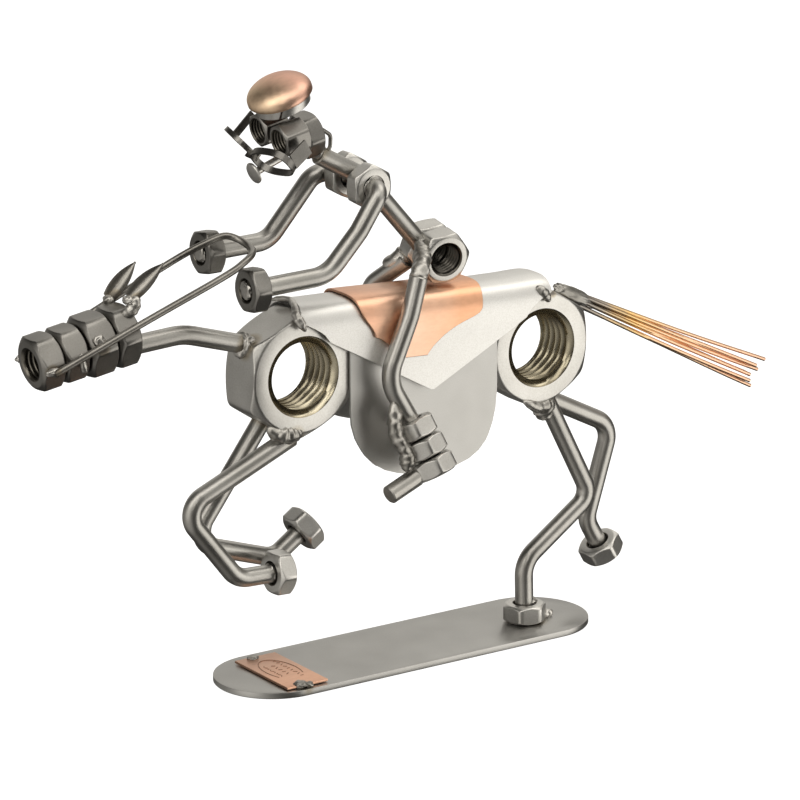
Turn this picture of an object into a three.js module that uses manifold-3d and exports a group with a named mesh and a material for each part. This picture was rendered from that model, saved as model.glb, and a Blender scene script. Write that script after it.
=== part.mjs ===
// Racehorse and jockey welded from hex nuts, bent round bar, sheet and copper wire, on a plate.
// Millimetres, +Z up. The horse faces -X, +Y is its far side, and the origin is the centre of
// the underside of the base plate.
import * as THREE from 'three';
import { mergeVertices } from 'three/addons/utils/BufferGeometryUtils.js';
import Module from 'manifold-3d';

const wasm = await Module();
wasm.setup();

// ---- driving dimensions -------------------------------------------------------------------
const GAP = 0.3;               // clearance kept between two pieces that are welded together
const BASE = { length: 138, width: 38.4, thick: 2 };
const LABEL = { length: 31, width: 15, thick: 0.8, x: -48, y: -1.5 };
const BAR = 6;                 // round bar of the legs, neck, torso and arms
const SHEET = 0.9;             // steel sheet of the body and saddle
const COPPER = 0.8;            // copper sheet on the saddle

// Hex nuts: width across flats, height, bore, mouth of the countersink
const M24 = { flats: 36, height: 17, bore: 21.6, mouth: 26, sides: 24 };
const M12 = { flats: 18, height: 9.4, bore: 10.4, sides: 12 };
const POLL = { ...M12, height: 8 };
const M10 = { flats: 16, height: 8.1, bore: 8.6, mouth: 10.8, sides: 12 };
const HIP = { flats: 15.6, height: 8, bore: 9.2, mouth: 11.2, sides: 12 };
const M8 = { flats: 13, height: 6, bore: 6.8, sides: 12 };
const EYE = { flats: 10, height: 9, bore: 7, sides: 12 };

// Where the two body nuts stand, and how far each is turned about its own bore
const CHEST = { x: -42.9, z: 99.7, turn: 3.5 };
const HAUNCH = { x: 47.8, z: 95.0, turn: 1.5 };

// Horse's head: a stack of four nuts on one axis, nose down
const HEAD = { x: -134.1, z: 115.9, pitch: 9 };
// Rider's head: hung from the centre between the two eye nuts
const FACE = { x: -49.5, z: 174.8, pitch: 11.5, roll: 8 };
const CAP = { radius: 10.3, height: 6.6, wall: 1, x: -44.8, z: 186.6, pitch: 22, roll: 4 };
const WASHER = { outer: 8.7, inner: 5.3, thick: 2.9 };

// ---- materials ----------------------------------------------------------------------------
const paint = (color, roughness) => new THREE.MeshStandardMaterial({ color, roughness, metalness: 1 });
const steel = () => paint(0x9a9a96, 0.35);
const darkSteel = () => paint(0x77756f, 0.4);
const satinSteel = () => paint(0xb9b9b2, 0.45);
const copper = () => paint(0xc98a62, 0.35);

// ---- solids and booleans ------------------------------------------------------------------
const rad = THREE.MathUtils.degToRad;
const at = (x, y, z) => new THREE.Vector3(x, y, z);

function solid(geometry) {
  const bare = geometry.clone();
  bare.deleteAttribute('normal');
  bare.deleteAttribute('uv');
  const merged = mergeVertices(bare, 1e-4);
  return new wasm.Manifold(new wasm.Mesh({
    numProp: 3,
    vertProperties: new Float32Array(merged.attributes.position.array),
    triVerts: new Uint32Array(merged.index.array),
  }));
}

function geometryOf(body) {
  const mesh = body.getMesh();
  const geometry = new THREE.BufferGeometry();
  geometry.setAttribute('position', new THREE.BufferAttribute(new Float32Array(mesh.vertProperties), 3));
  geometry.setIndex(new THREE.BufferAttribute(new Uint32Array(mesh.triVerts), 1));
  geometry.computeVertexNormals();
  return geometry;
}

const placed = (geometry, matrix) => geometry.clone().applyMatrix4(matrix);

// A frame whose local Z lies along axis, and whose local X is as near to side as it can be
function frame(origin, axis, side = at(0, 0, 1)) {
  const z = axis.clone().normalize();
  const x = side.clone().addScaledVector(z, -side.dot(z)).normalize();
  const y = z.clone().cross(x);
  return new THREE.Matrix4().makeBasis(x, y, z).setPosition(origin);
}

// ---- hex nuts -----------------------------------------------------------------------------
// Bore along Z, centred on the origin, a corner pointing along local X
function nutSolid(size, grow = 0) {
  const flats = size.flats + 2 * grow;
  const half = size.height / 2 + grow;
  const corner = flats / Math.sqrt(3);
  const hex = new THREE.Shape();
  for (let i = 0; i < 6; i += 1) {
    const a = rad(60 * i);
    if (i === 0) hex.moveTo(corner * Math.cos(a), corner * Math.sin(a));
    else hex.lineTo(corner * Math.cos(a), corner * Math.sin(a));
  }
  const prism = new THREE.ExtrudeGeometry(hex, { depth: 2 * half, bevelEnabled: false });
  prism.translate(0, 0, -half);
  const rim = 0.475 * flats;
  const drop = (corner - rim) * Math.tan(rad(30));
  const outline = [[0, -half], [rim, -half], [corner + 0.01, drop - half],
    [corner + 0.01, half - drop], [rim, half], [0, half]];
  let body = solid(prism).intersect(solid(turned(outline, size.sides)));
  if (grow === 0) body = body.subtract(boreSolid(size));
  return body;
}

function boreSolid(size) {
  const half = size.height / 2;
  const bore = size.bore / 2;
  if (!size.mouth) {
    const plain = [[0, -half - 1], [bore, -half - 1], [bore, half + 1], [0, half + 1]];
    return solid(turned(plain, size.sides));
  }
  const mouth = size.mouth / 2;
  const sink = (mouth - bore) * 0.6;
  const outline = [[0, -half - 1], [mouth, -half - 1], [mouth, -half], [bore, sink - half],
    [bore, half - sink], [mouth, half], [mouth, half + 1], [0, half + 1]];
  return solid(turned(outline, size.sides));
}

// A profile of [radius, height] pairs turned about Z
function turned(outline, sides) {
  const points = outline.map(([r, z]) => new THREE.Vector2(r, z));
  const lathe = new THREE.LatheGeometry(points, sides);
  lathe.rotateX(Math.PI / 2);
  return lathe;
}

const root = new THREE.Group();

function add(name, geometry, material) {
  const mesh = new THREE.Mesh(geometry, material);
  mesh.name = name;
  root.add(mesh);
  return mesh;
}

// A nut standing at `origin` with its bore along `axis` and a corner towards `corner`
function addNut(name, size, origin, axis, corner, material = steel()) {
  const mesh = add(name, geometryOf(nutSolid(size)), material);
  mesh.applyMatrix4(frame(origin, axis, corner));
  return frame(origin, axis, corner);
}

// ---- bent round bar -----------------------------------------------------------------------
// Straight runs joined by arcs; stations only where the bar bends, so straight runs stay cheap.
class BentPath extends THREE.Curve {
  constructor(corners) {
    super();
    this.spots = [];
    this.ways = [];
    const points = corners.map((c) => at(c[0], c[1], c[2]));
    const last = points.length - 1;
    this.mark(points[0], points[1].clone().sub(points[0]));
    for (let i = 1; i < last; i += 1) {
      const into = points[i].clone().sub(points[i - 1]).normalize();
      const out = points[i + 1].clone().sub(points[i]).normalize();
      const angle = into.angleTo(out);
      const radius = corners[i][3];
      const setback = radius * Math.tan(angle / 2);
      const centreWay = out.clone().sub(into).normalize();
      const centre = points[i].clone().addScaledVector(centreWay, radius / Math.cos(angle / 2));
      const first = points[i].clone().addScaledVector(into, -setback).sub(centre);
      const spin = into.clone().cross(out).normalize();
      const steps = Math.max(2, Math.ceil(angle / rad(24)));
      for (let k = 0; k <= steps; k += 1) {
        const turn = angle * k / steps;
        const spot = first.clone().applyAxisAngle(spin, turn).add(centre);
        this.mark(spot, into.clone().applyAxisAngle(spin, turn));
      }
    }
    this.mark(points[last], points[last].clone().sub(points[last - 1]));
  }

  mark(spot, way) {
    this.spots.push(spot.clone());
    this.ways.push(way.clone().normalize());
  }

  get steps() {
    return this.spots.length - 1;
  }

  getPointAt(u) {
    return this.spots[Math.round(u * this.steps)].clone();
  }

  getTangentAt(u) {
    return this.ways[Math.round(u * this.steps)].clone();
  }
}

function roundSection(diameter, sides) {
  const shape = new THREE.Shape();
  for (let i = 0; i < sides; i += 1) {
    const a = 2 * Math.PI * i / sides;
    const x = diameter / 2 * Math.cos(a);
    const y = diameter / 2 * Math.sin(a);
    if (i === 0) shape.moveTo(x, y);
    else shape.lineTo(x, y);
  }
  return shape;
}

function barAlong(path, diameter, sides) {
  const options = { steps: path.steps, bevelEnabled: false, extrudePath: path };
  return new THREE.ExtrudeGeometry(roundSection(diameter, sides), options);
}

// A bar through corners [x, y, z, bend radius], its ends cut back from the pieces that it meets
function barSolid(corners, cutters = [], diameter = BAR, sides = 8) {
  let body = solid(barAlong(new BentPath(corners), diameter, sides));
  for (const cutter of cutters) body = body.subtract(cutter);
  return body;
}

// The space that a nut fills, grown by the welding gap, for cutting a bar to it
const nutSpace = (size, matrix) => solid(placed(geometryOf(nutSolid(size, GAP)), matrix));

// ---- sheets -------------------------------------------------------------------------------
// A closed solid between two grids of points: grid[i][j] is [outer point, inner point]
function slab(grid) {
  const rows = grid.length;
  const cols = grid[0].length;
  const positions = [];
  for (const side of [0, 1]) {
    for (const row of grid) for (const pair of row) positions.push(...pair[side]);
  }
  const spot = (side, i, j) => side * rows * cols + i * cols + j;
  const faces = [];
  const quad = (a, b, c, d) => faces.push(a, c, b, a, d, c);
  for (let i = 0; i + 1 < rows; i += 1) {
    for (let j = 0; j + 1 < cols; j += 1) {
      quad(spot(0, i, j), spot(0, i + 1, j), spot(0, i + 1, j + 1), spot(0, i, j + 1));
      quad(spot(1, i, j), spot(1, i, j + 1), spot(1, i + 1, j + 1), spot(1, i + 1, j));
    }
    quad(spot(0, i, 0), spot(1, i, 0), spot(1, i + 1, 0), spot(0, i + 1, 0));
    quad(spot(0, i, cols - 1), spot(0, i + 1, cols - 1), spot(1, i + 1, cols - 1), spot(1, i, cols - 1));
  }
  for (let j = 0; j + 1 < cols; j += 1) {
    quad(spot(0, 0, j), spot(0, 0, j + 1), spot(1, 0, j + 1), spot(1, 0, j));
    quad(spot(0, rows - 1, j), spot(1, rows - 1, j), spot(1, rows - 1, j + 1), spot(0, rows - 1, j + 1));
  }
  const geometry = new THREE.BufferGeometry();
  geometry.setAttribute('position', new THREE.BufferAttribute(new Float32Array(positions), 3));
  geometry.setIndex(faces);
  return geometry;
}

// Straight-line reading of a table of [key, value] pairs
function lookup(table, key) {
  if (key <= table[0][0]) return table[0][1];
  for (let i = 1; i < table.length; i += 1) {
    if (key <= table[i][0]) {
      const [k0, v0] = table[i - 1];
      const [k1, v1] = table[i];
      return v0 + (v1 - v0) * (key - k0) / (k1 - k0);
    }
  }
  return table[table.length - 1][1];
}

// Cross-section of a sheet folded over the back, looking along X. `around` runs from -1 at the
// near hem over 0 on the spine to 1 at the far hem. Returns [y, drop below the spine].
function foldSection(half, shoulder, hem, flare) {
  return (around) => {
    const side = Math.sign(around);
    const share = Math.abs(around);
    const arch = 0.5;
    if (share < arch) {
      const a = share / arch * Math.PI / 2;
      const power = 2 / 3.2;
      return [side * half * Math.sin(a) ** power, shoulder * (1 - Math.cos(a) ** power)];
    }
    const down = (share - arch) / (1 - arch);
    return [side * (half + flare * down), shoulder + (hem - shoulder) * down];
  };
}

const SADDLE_SPINE = [[-45, 122.4], [-37, 122.0], [-23, 121.5], [0, 120.3], [24, 119.3], [39, 118.9],
  [48, 118.9], [52, 118], [56, 115.6]];
const FOLD_ROWS = [0, 0.09, 0.18, 0.27, 0.36, 0.42, 0.465, 0.485, 0.58, 0.7, 0.85, 1];

// Rows across the sheet, each running from its front edge to its rear edge
function foldedSheet({ spine, section, front, rear, thick, cols }) {
  const grid = [];
  const step = 0.004;
  const rows = [...FOLD_ROWS.slice(1).reverse().map((share) => -share), ...FOLD_ROWS];
  for (const around of rows) {
    const share = Math.abs(around);
    const row = [];
    for (let j = 0; j <= cols; j += 1) {
      const x = front(share) + (rear(share) - front(share)) * j / cols;
      const lift = lookup(spine, x);
      const [y, drop] = section(around);
      const [y0, d0] = section(Math.max(-1, around - step));
      const [y1, d1] = section(Math.min(1, around + step));
      const length = Math.hypot(y1 - y0, d1 - d0);
      const ny = (d1 - d0) / length;
      const nz = (y1 - y0) / length;
      row.push([[x, y, lift - drop], [x, y - ny * thick, lift - drop - nz * thick]]);
    }
    grid.push(row);
  }
  return slab(grid);
}

// ---- base plate ---------------------------------------------------------------------------
function buildBase() {
  const r = BASE.width / 2;
  const reach = BASE.length / 2 - r;
  const oval = new THREE.Shape();
  oval.absarc(reach, 0, r, -Math.PI / 2, Math.PI / 2, false);
  oval.absarc(-reach, 0, r, Math.PI / 2, 3 * Math.PI / 2, false);
  add('base_plate', new THREE.ExtrudeGeometry(oval, {
    depth: BASE.thick, bevelEnabled: false, curveSegments: 14,
  }), satinSteel());
  const label = new THREE.BoxGeometry(LABEL.width, LABEL.length, LABEL.thick);
  const height = BASE.thick + GAP + LABEL.thick / 2;
  add('copper_label', label, copper()).position.set(LABEL.x, LABEL.y, height);
}

// ---- horse --------------------------------------------------------------------------------
const cornerUp = (turn) => at(Math.sin(rad(turn)), 0, Math.cos(rad(turn)));
const chestFrame = frame(at(CHEST.x, 0, CHEST.z), at(0, -1, 0), cornerUp(CHEST.turn));
const haunchFrame = frame(at(HAUNCH.x, 0, HAUNCH.z), at(0, -1, 0), cornerUp(HAUNCH.turn));

function buildBodyNuts() {
  add('chest_nut', geometryOf(nutSolid(M24)), steel()).applyMatrix4(chestFrame);
  add('haunch_nut', geometryOf(nutSolid(M24)), steel()).applyMatrix4(haunchFrame);
}

// The sheet that hangs between the two body nuts, deep and round on the near side, shallow on the
// far side. Each side is given as [drop below the spine, x of the front edge, x of the rear edge].
const FLAP_NEAR = [[0, -26.4, 29.5], [33, -26.4, 29.5], [39, -26, 28.9], [44, -24.4, 27.7],
  [49, -21.3, 25.6], [52.5, -17.6, 22.4], [55, -13.2, 18.4], [56.6, -8, 13.4], [57.4, -2, 7.4]];
const FLAP_FAR = [[0, -26.4, 29.5], [28, -26.4, 29.5], [34, -25.6, 28.6], [38, -23.4, 26.4],
  [40.6, -20, 22.6], [42, -15, 17.4]];

function buildBodySheet() {
  const half = 9.7;
  const shoulder = 10;
  const bends = [0, 22, 45, 67, 85];
  const cols = 4;
  const power = 2 / 3.2;
  const spine = (x) => 119.1 - x * 0.047;
  const rowAt = (side, y, drop, out, up, flap) => {
    const front = lookup(flap.map(([d, a]) => [d, a]), drop);
    const rear = lookup(flap.map(([d, , b]) => [d, b]), drop);
    const row = [];
    for (let j = 0; j <= cols; j += 1) {
      const x = front + (rear - front) * j / cols;
      const z = spine(x) - drop;
      row.push([[x, side * y, z], [x, side * (y - SHEET * out), z - SHEET * up]]);
    }
    return row;
  };
  const halfOf = (side, flap) => {
    const arch = bends.map((degrees) => {
      const a = rad(degrees);
      const y = half * Math.sin(a) ** power;
      const drop = shoulder * (1 - Math.cos(a) ** power);
      return rowAt(side, y, drop, Math.sin(a), Math.cos(a), flap);
    });
    const sides = flap.slice(1).map(([drop]) => rowAt(side, half, drop, 1, 0, flap));
    return [...arch, ...sides];
  };
  const grid = [...halfOf(-1, FLAP_NEAR).reverse(), ...halfOf(1, FLAP_FAR).slice(1)];
  add('body_sheet', slab(grid), satinSteel());
}

function buildSaddle() {
  const fall = 30.6;
  const tip = 2.4;
  const front = [[0, -41.5], [0.2, -43.5], [0.36, -44.6], [1, tip - 0.6]];
  const rear = [[0, 50.5], [0.36, 50.5], [1, tip + 0.6]];
  add('saddle_sheet', foldedSheet({
    spine: SADDLE_SPINE,
    section: foldSection(11, 12, fall, 1.9),
    front: (share) => lookup(front, share),
    rear: (share) => lookup(rear, share),
    thick: SHEET,
    cols: 6,
  }), satinSteel());
}

function buildCopperSheet() {
  const spine = SADDLE_SPINE.map(([x, z]) => [x, z + GAP + COPPER]);
  const front = [[0, -24.5], [0.28, -23.2], [0.39, -22.5], [0.465, -20.2], [0.53, -16.8], [0.7, -13.4],
    [1, -9]];
  const rear = [[0, 24.4], [0.27, 24.4], [0.36, 23.4], [0.42, 22], [0.465, 17], [0.485, 11], [0.7, 4.8],
    [1, 0.5]];
  add('copper_sheet', foldedSheet({
    spine,
    section: foldSection(11 + GAP + COPPER + 0.1, 13, 20.4, 0.9),
    front: (share) => lookup(front, share),
    rear: (share) => lookup(rear, share),
    thick: COPPER,
    cols: 5,
  }), copper());
}

// One hoof: a nut welded across the end of its leg
function hoof(name, spot, axis) {
  addNut(name, M8, spot, axis, at(0, -1, 0));
}

function buildLegs() {
  const chest = nutSpace(M24, chestFrame);
  const haunch = nutSpace(M24, haunchFrame);
  const plateNut = at(45, -3.6, BASE.thick + GAP + M8.height / 2);

  const legs = {
    near_fore_leg: [[[-45.3, -5, 80.1], [-85.6, -5, 63.1, 6.3], [-65.9, -5, 37.5, 8],
      [-47.8, -5, 36.8]], chest],
    far_fore_leg: [[[-47.4, 5.9, 86], [-76, 5.9, 48, 6.5], [-45.6, 5.9, 37.9, 7],
      [-32.5, 5.9, 46.8]], chest],
    near_hind_leg: [[[50.9, -3.8, 80], [71.2, -3.6, 40.75, 6.2], [44.6, -3.6, 22.4, 9],
      [45, -3.6, BASE.thick + GAP]], haunch],
    far_hind_leg: [[[54, 4.4, 76.2], [85.4, 4.4, 60.2, 7.4], [75.6, 4.4, 29.3, 7], [82.6, 4.4, 17]], haunch],
  };
  for (const [name, [corners, cutter]] of Object.entries(legs)) {
    add(name, geometryOf(barSolid(corners, [cutter])), steel());
  }
  hoof('near_fore_hoof', at(-50.6, -5, 36.9), at(1, 0, -0.039));
  hoof('far_fore_hoof', at(-34.3, 5.9, 45.58), at(13.1, 0, 8.9));
  addNut('near_hind_hoof', M8, plateNut, at(0, 0, 1), at(-1, 0.3, 0));
  hoof('far_hind_hoof', at(81.8, 4.4, 18.4), at(7, 0, -12.3));
}

const headWay = at(Math.cos(rad(HEAD.pitch)), 0, Math.sin(rad(HEAD.pitch)));
const headSpot = (reach) => at(HEAD.x, 0, HEAD.z).addScaledVector(headWay, reach);

function buildHorseHead() {
  const stack = [['muzzle_nut', M10], ['nose_nut', M10], ['cheek_nut', M12], ['poll_nut', POLL]];
  let reach = 0;
  let pollFrame;
  for (const [name, size] of stack) {
    pollFrame = addNut(name, size, headSpot(reach + size.height / 2), headWay, at(0, 1, 0));
    reach += size.height + GAP;
  }
  const back = headSpot(reach - GAP);
  const neck = [[back.x - 1, 0, back.z - 4.9], [-81, 0, 117.4, 22], [-58.5, 0, 110.6]];
  const cutters = [nutSpace(M24, chestFrame), nutSpace(POLL, pollFrame)];
  add('neck', geometryOf(barSolid(neck, cutters)), steel());
}

// A leaf of sheet, curled about its length, pointing along local X from its root
function earSolid(length) {
  const half = 2.7;
  const cols = 5;
  const grid = [];
  for (const across of [-1, -0.6, 0, 0.6, 1]) {
    const row = [];
    for (let j = 0; j <= cols; j += 1) {
      const along = j / cols;
      const width = Math.max(0.25, half * (0.72 + 1.25 * along - 1.97 * along ** 2));
      const y = across * width;
      const z = -0.45 * width * (1 - across ** 2) - 2.2 * (along - 0.5) ** 2;
      row.push([[along * length, y, z + SHEET / 2], [along * length, y, z - SHEET / 2]]);
    }
    grid.push(row);
  }
  return slab(grid);
}

const EARS = {
  near_ear: { root: [-103, -6.2, 133.6], tip: [-91.5, -7, 142.6] },
  far_ear: { root: [-103.2, 6, 131], tip: [-93.6, 6, 140.7] },
};

function buildEars() {
  for (const [name, { root: foot, tip }] of Object.entries(EARS)) {
    const reach = at(...tip).sub(at(...foot));
    const way = reach.clone().normalize();
    const ear = solid(earSolid(reach.length()));
    const open = at(-0.5, -0.73, 0.42);
    const z = open.addScaledVector(way, -open.dot(way)).normalize();
    const y = z.clone().cross(way);
    const stand = new THREE.Matrix4().makeBasis(way, y, z).setPosition(...foot);
    add(name, geometryOf(ear), darkSteel()).applyMatrix4(stand);
  }
}

// One wire runs from the near side of the muzzle to the near hand, across to the far hand and back
function buildReins() {
  const wire = 2.2;
  const route = new THREE.CatmullRomCurve3([
    at(-131.6, -10.4, 114.9), at(-100, -11.9, 127.2), at(-74, -13, 137), at(-66.5, -12.4, 140.2),
    at(-61, -8.6, 141.6), at(-58.4, -3, 142), at(-59.4, 2, 143.6), at(-63, 4.4, 144.7), at(-69, 5.2, 143.2),
    at(-78, 7, 139.4), at(-96, 9, 131), at(-131.6, 10.4, 115.2),
  ], false, 'catmullrom', 0.5);
  const options = { steps: 30, bevelEnabled: false, extrudePath: route };
  add('reins', new THREE.ExtrudeGeometry(roundSection(wire, 6), options), darkSteel());
}

// A fan of copper wires, held together at the haunch by a long weld
function buildTail() {
  const wire = 1.4;
  const rootSpot = at(70.5, 0, 104.6);
  let tail = null;
  const spread = [[-2, 1.6, 3.6, 2.4], [0, 1.9, 4.6, 0], [2, 1.6, 3.8, -2.6], [-2.2, 0.3, 1.2, 4],
    [-0.2, 0.5, 1.4, 1.2], [1.8, 0.3, 0.4, -1.6], [-1.6, -1.1, -2.2, 3], [0.4, -1.0, -3.4, 0.6],
    [1.9, -1.2, -1.2, -3]];
  for (const [side, rise, endRise, endSide] of spread) {
    const start = at(rootSpot.x + rise * 0.5, side * 0.7, rootSpot.z + rise * 1.05);
    const end = at(144 - 2.2 * Math.abs(side) + endRise * 0.6, side * 0.7 + endSide, 69 + endRise);
    const middle = start.clone().lerp(end, 0.5).add(at(0, 0, -0.6));
    const path = new THREE.QuadraticBezierCurve3(start, middle, end);
    const options = { steps: 2, bevelEnabled: false, extrudePath: path };
    const strand = solid(new THREE.ExtrudeGeometry(roundSection(wire, 5), options));
    tail = tail ? tail.add(strand) : strand;
  }
  const weld = new THREE.SphereGeometry(1, 8, 5).scale(9.5, 2.6, 2.5);
  weld.rotateY(rad(29)).translate(67, 0, 107.3);
  tail = tail.add(solid(weld)).subtract(nutSpace(M24, haunchFrame));
  add('tail', geometryOf(tail), copper());
}

// ---- rider --------------------------------------------------------------------------------
const hipWay = at(-0.11, -0.985, -0.127).normalize();
const hipSpot = (side) => at(11.9, 0, 130.35).addScaledVector(hipWay, -side * (HIP.height / 2 + GAP));
const shoulderSpot = (side) => at(-16.9, side * (BAR / 2 + GAP + M8.height / 2), side < 0 ? 156.2 : 157.6);

function buildRiderBody() {
  const cutters = [];
  for (const [name, side] of [['near', -1], ['far', 1]]) {
    const hip = addNut(`${name}_hip_nut`, HIP, hipSpot(side), hipWay, at(0.4, 0, 0.917));
    cutters.push(nutSpace(HIP, hip));
    addNut(`${name}_shoulder_nut`, M8, shoulderSpot(side), at(0, -1, 0), at(0, 0, 1));
  }
  const nape = headNut();
  cutters.push(nutSpace(NAPE, nape));
  const spine = [[7.5, 0, 132.2], [-14.6, 0, 157.6, 7], [-31.5, 0, 167]];
  add('torso', geometryOf(barSolid(spine, cutters)), steel());
  buildStrap(barSolid(spine, [], BAR + 2 * GAP));
  return cutters;
}

// Frame of the rider's head: local X backwards through the head, local Y to the far side
function faceMatrix(x = FACE.x, z = FACE.z, pitch = FACE.pitch, roll = FACE.roll) {
  const turn = new THREE.Euler(rad(roll), -rad(pitch), 0, 'ZYX');
  return new THREE.Matrix4().makeRotationFromEuler(turn).setPosition(x, 0, z);
}

const NAPE = { ...M8, height: 6.4 };
const napeBack = 16.8;

function headNut() {
  const back = at(napeBack - NAPE.height / 2, 0, -4.1);
  return faceMatrix().multiply(frame(back, at(1, 0, 0), at(0, 1, 0)));
}

function buildRiderHead() {
  const nape = add('head_back_nut', geometryOf(nutSolid(NAPE)), steel());
  nape.applyMatrix4(headNut());
  for (const [name, side] of [['near', -1], ['far', 1]]) {
    const spot = at(EYE.height / 2, side * 5.75, 0);
    const eye = add(`${name}_eye_nut`, geometryOf(nutSolid(EYE)), steel());
    eye.applyMatrix4(faceMatrix().multiply(frame(spot, at(1, 0, 0), at(0, 0, 1))));
  }
  buildCap();
  buildNose();
  buildGlasses();
}

function buildCap() {
  const tilt = faceMatrix(CAP.x, CAP.z, CAP.pitch, CAP.roll);
  const profile = [];
  const steps = 4;
  const rim = 1.2;
  for (let i = 0; i <= steps; i += 1) {
    const a = Math.PI / 2 * i / steps;
    profile.push([CAP.radius * Math.cos(a), rim + (CAP.height - rim) * Math.sin(a)]);
  }
  for (let i = steps; i >= 0; i -= 1) {
    const a = Math.PI / 2 * i / steps;
    profile.push([(CAP.radius - CAP.wall) * Math.cos(a), rim + (CAP.height - rim - CAP.wall) * Math.sin(a)]);
  }
  const outline = [[CAP.radius, 0], ...profile, [CAP.radius - CAP.wall, 0], [CAP.radius, 0]];
  add('copper_cap', turned(outline, 20), copper()).applyMatrix4(tilt);

  const top = -GAP;
  const ring = [[WASHER.inner, top - WASHER.thick], [WASHER.outer, top - WASHER.thick], [WASHER.outer, top],
    [WASHER.inner, top], [WASHER.inner, top - WASHER.thick]];
  const slot = new THREE.BoxGeometry(6, 0.6, 6).rotateX(rad(28));
  slot.translate(-7, 0, top - WASHER.thick / 2);
  slot.rotateZ(rad(52));
  const washer = solid(turned(ring, 20)).subtract(solid(slot));
  add('spring_washer', geometryOf(washer), steel()).applyMatrix4(tilt);
}

function buildNose() {
  const outline = [[0, 0], [3.5, 0], [3.5, 1.1], [1.2, 1.6], [1.2, 12.2], [0, 12.2]];
  const nail = add('nose_nail', turned(outline, 12), steel());
  nail.applyMatrix4(frame(at(-55.3, 0, 163.9), at(0.93, 0, 0.34), at(0, 1, 0)));
}

// Two rounded rings of strip, a bridge and two temples, welded into one piece
const LENS = { short: 5.7, strip: 0.7, depth: 3 };
const SIGHT = {
  near: { centre: [-53.4, -9, 169.1], normal: [-0.684, -0.2255, -0.69], long: 7.4 },
  far: { centre: [-53.9, 8.6, 172.1], normal: [-0.684, 0.2255, -0.69], long: 6.2 },
};
const BROW = at(-0.038, 0.984, 0.175);
const TEMPLES = {
  near: { from: [-50.3, -15.2, 169.8], to: [-43.6, -13.2, 173.4], broad: 5 },
  far: { from: [-52.7, 13.4, 173.6], to: [-46.4, 13.4, 179.4], broad: 2.4 },
};

// Outline of a lens, squarer than an ellipse
function lensOutline(long, short) {
  const points = [];
  for (let i = 0; i < 16; i += 1) {
    const a = 2 * Math.PI * i / 16;
    const x = long * Math.sign(Math.cos(a)) * Math.abs(Math.cos(a)) ** 0.78;
    const y = short * Math.sign(Math.sin(a)) * Math.abs(Math.sin(a)) ** 0.78;
    points.push(new THREE.Vector2(x, y));
  }
  return points;
}

function lensRing({ centre, normal, long }) {
  const ring = new THREE.Shape(lensOutline(long, LENS.short));
  ring.holes.push(new THREE.Path(lensOutline(long - LENS.strip, LENS.short - LENS.strip).reverse()));
  const oval = new THREE.ExtrudeGeometry(ring, { depth: LENS.depth, bevelEnabled: false });
  return placed(oval.translate(0, 0, -LENS.depth / 2), frame(at(...centre), at(...normal), BROW));
}

function temple({ from, to, broad }) {
  const start = at(...from);
  const way = at(...to).sub(start);
  const strap = new THREE.BoxGeometry(broad, LENS.strip, way.length());
  strap.translate(0, 0, way.length() / 2);
  return placed(strap, frame(start, way, at(-0.6, 0, 1)));
}

function buildGlasses() {
  const bridge = new THREE.BoxGeometry(7, LENS.strip, LENS.depth);
  const brow = frame(at(-55, 0, 169.7), at(-0.684, 0, -0.69), BROW);
  const pieces = [lensRing(SIGHT.near), lensRing(SIGHT.far), temple(TEMPLES.near), temple(TEMPLES.far),
    placed(bridge, brow)].map(solid);
  const whole = pieces.reduce((sum, piece) => sum.add(piece));
  add('spectacles', geometryOf(whole), satinSteel());
}

function buildStrap(torsoSpace) {
  const route = [[-31.4, -1.5, 175.4], [-27.7, -1.5, 172.9, 2], [-27.9, -1.5, 169.4, 2], [-30, -1.5, 165.6]];
  const strap = barSolid(route, [nutSpace(NAPE, headNut()), torsoSpace], 1.3, 6);
  add('neck_strap', geometryOf(strap), darkSteel());
}

function buildArms() {
  const arms = {
    near: [[-16.9, -6.2, 156.2], [-16.9, -13.2, 156.4, 4], [-25.2, -13.2, 144.4, 14],
      [-37, -13.2, 132.2, 12], [-64.6, -13.2, 131.5]],
    far: [[-16.9, 6.2, 157.6], [-16.9, 13.2, 158.2, 4], [-25.2, 13.2, 157, 7], [-41.8, 13.2, 138.5, 9],
      [-65, 13.2, 138]],
  };
  const hands = { near: at(-63.6, -13.2, 131.5), far: at(-63.6, 13.2, 138) };
  for (const [side, corners] of Object.entries(arms)) {
    add(`${side}_arm`, geometryOf(barSolid(corners)), steel());
    addNut(`${side}_hand_nut`, M8, hands[side], at(1, 0, 0), at(0, 1, side === 'near' ? -0.08 : -0.15));
  }
}

// Each leg hangs from its hip to three nuts stacked along the boot, with the foot welded below
const BOOTS = {
  near: {
    route: [[4.4, -8.2, 130.4], [-4.6, -14.8, 126.4, 5], [-8, -15.7, 115.5, 30], [-17.2, -16.6, 96.6, 11]],
    top: [-7.1, -16.9, 79.2], way: [0.278, -0.366, -0.8885], step: M8.height + 2 * GAP,
    corners: [[-0.51, -0.81, 0.29], [-0.33, -0.87, 0.36], [-0.33, -0.87, 0.36]],
    heel: [-7.5, -21.4, 65.9],
  },
  far: {
    route: [[5.9, 6.6, 127], [-1.4, 17, 117.4, 7], [-0.6, 17, 97, 11]],
    top: [10.5, 16.7, 80.4], way: [0.46, 0, -0.888], step: M8.height + 1.1,
    corners: [[-0.56, 0.83, 0], [-0.56, 0.83, 0], [-0.56, 0.83, 0]],
    heel: [13.5, 16.7, 64.4],
  },
};

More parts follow.
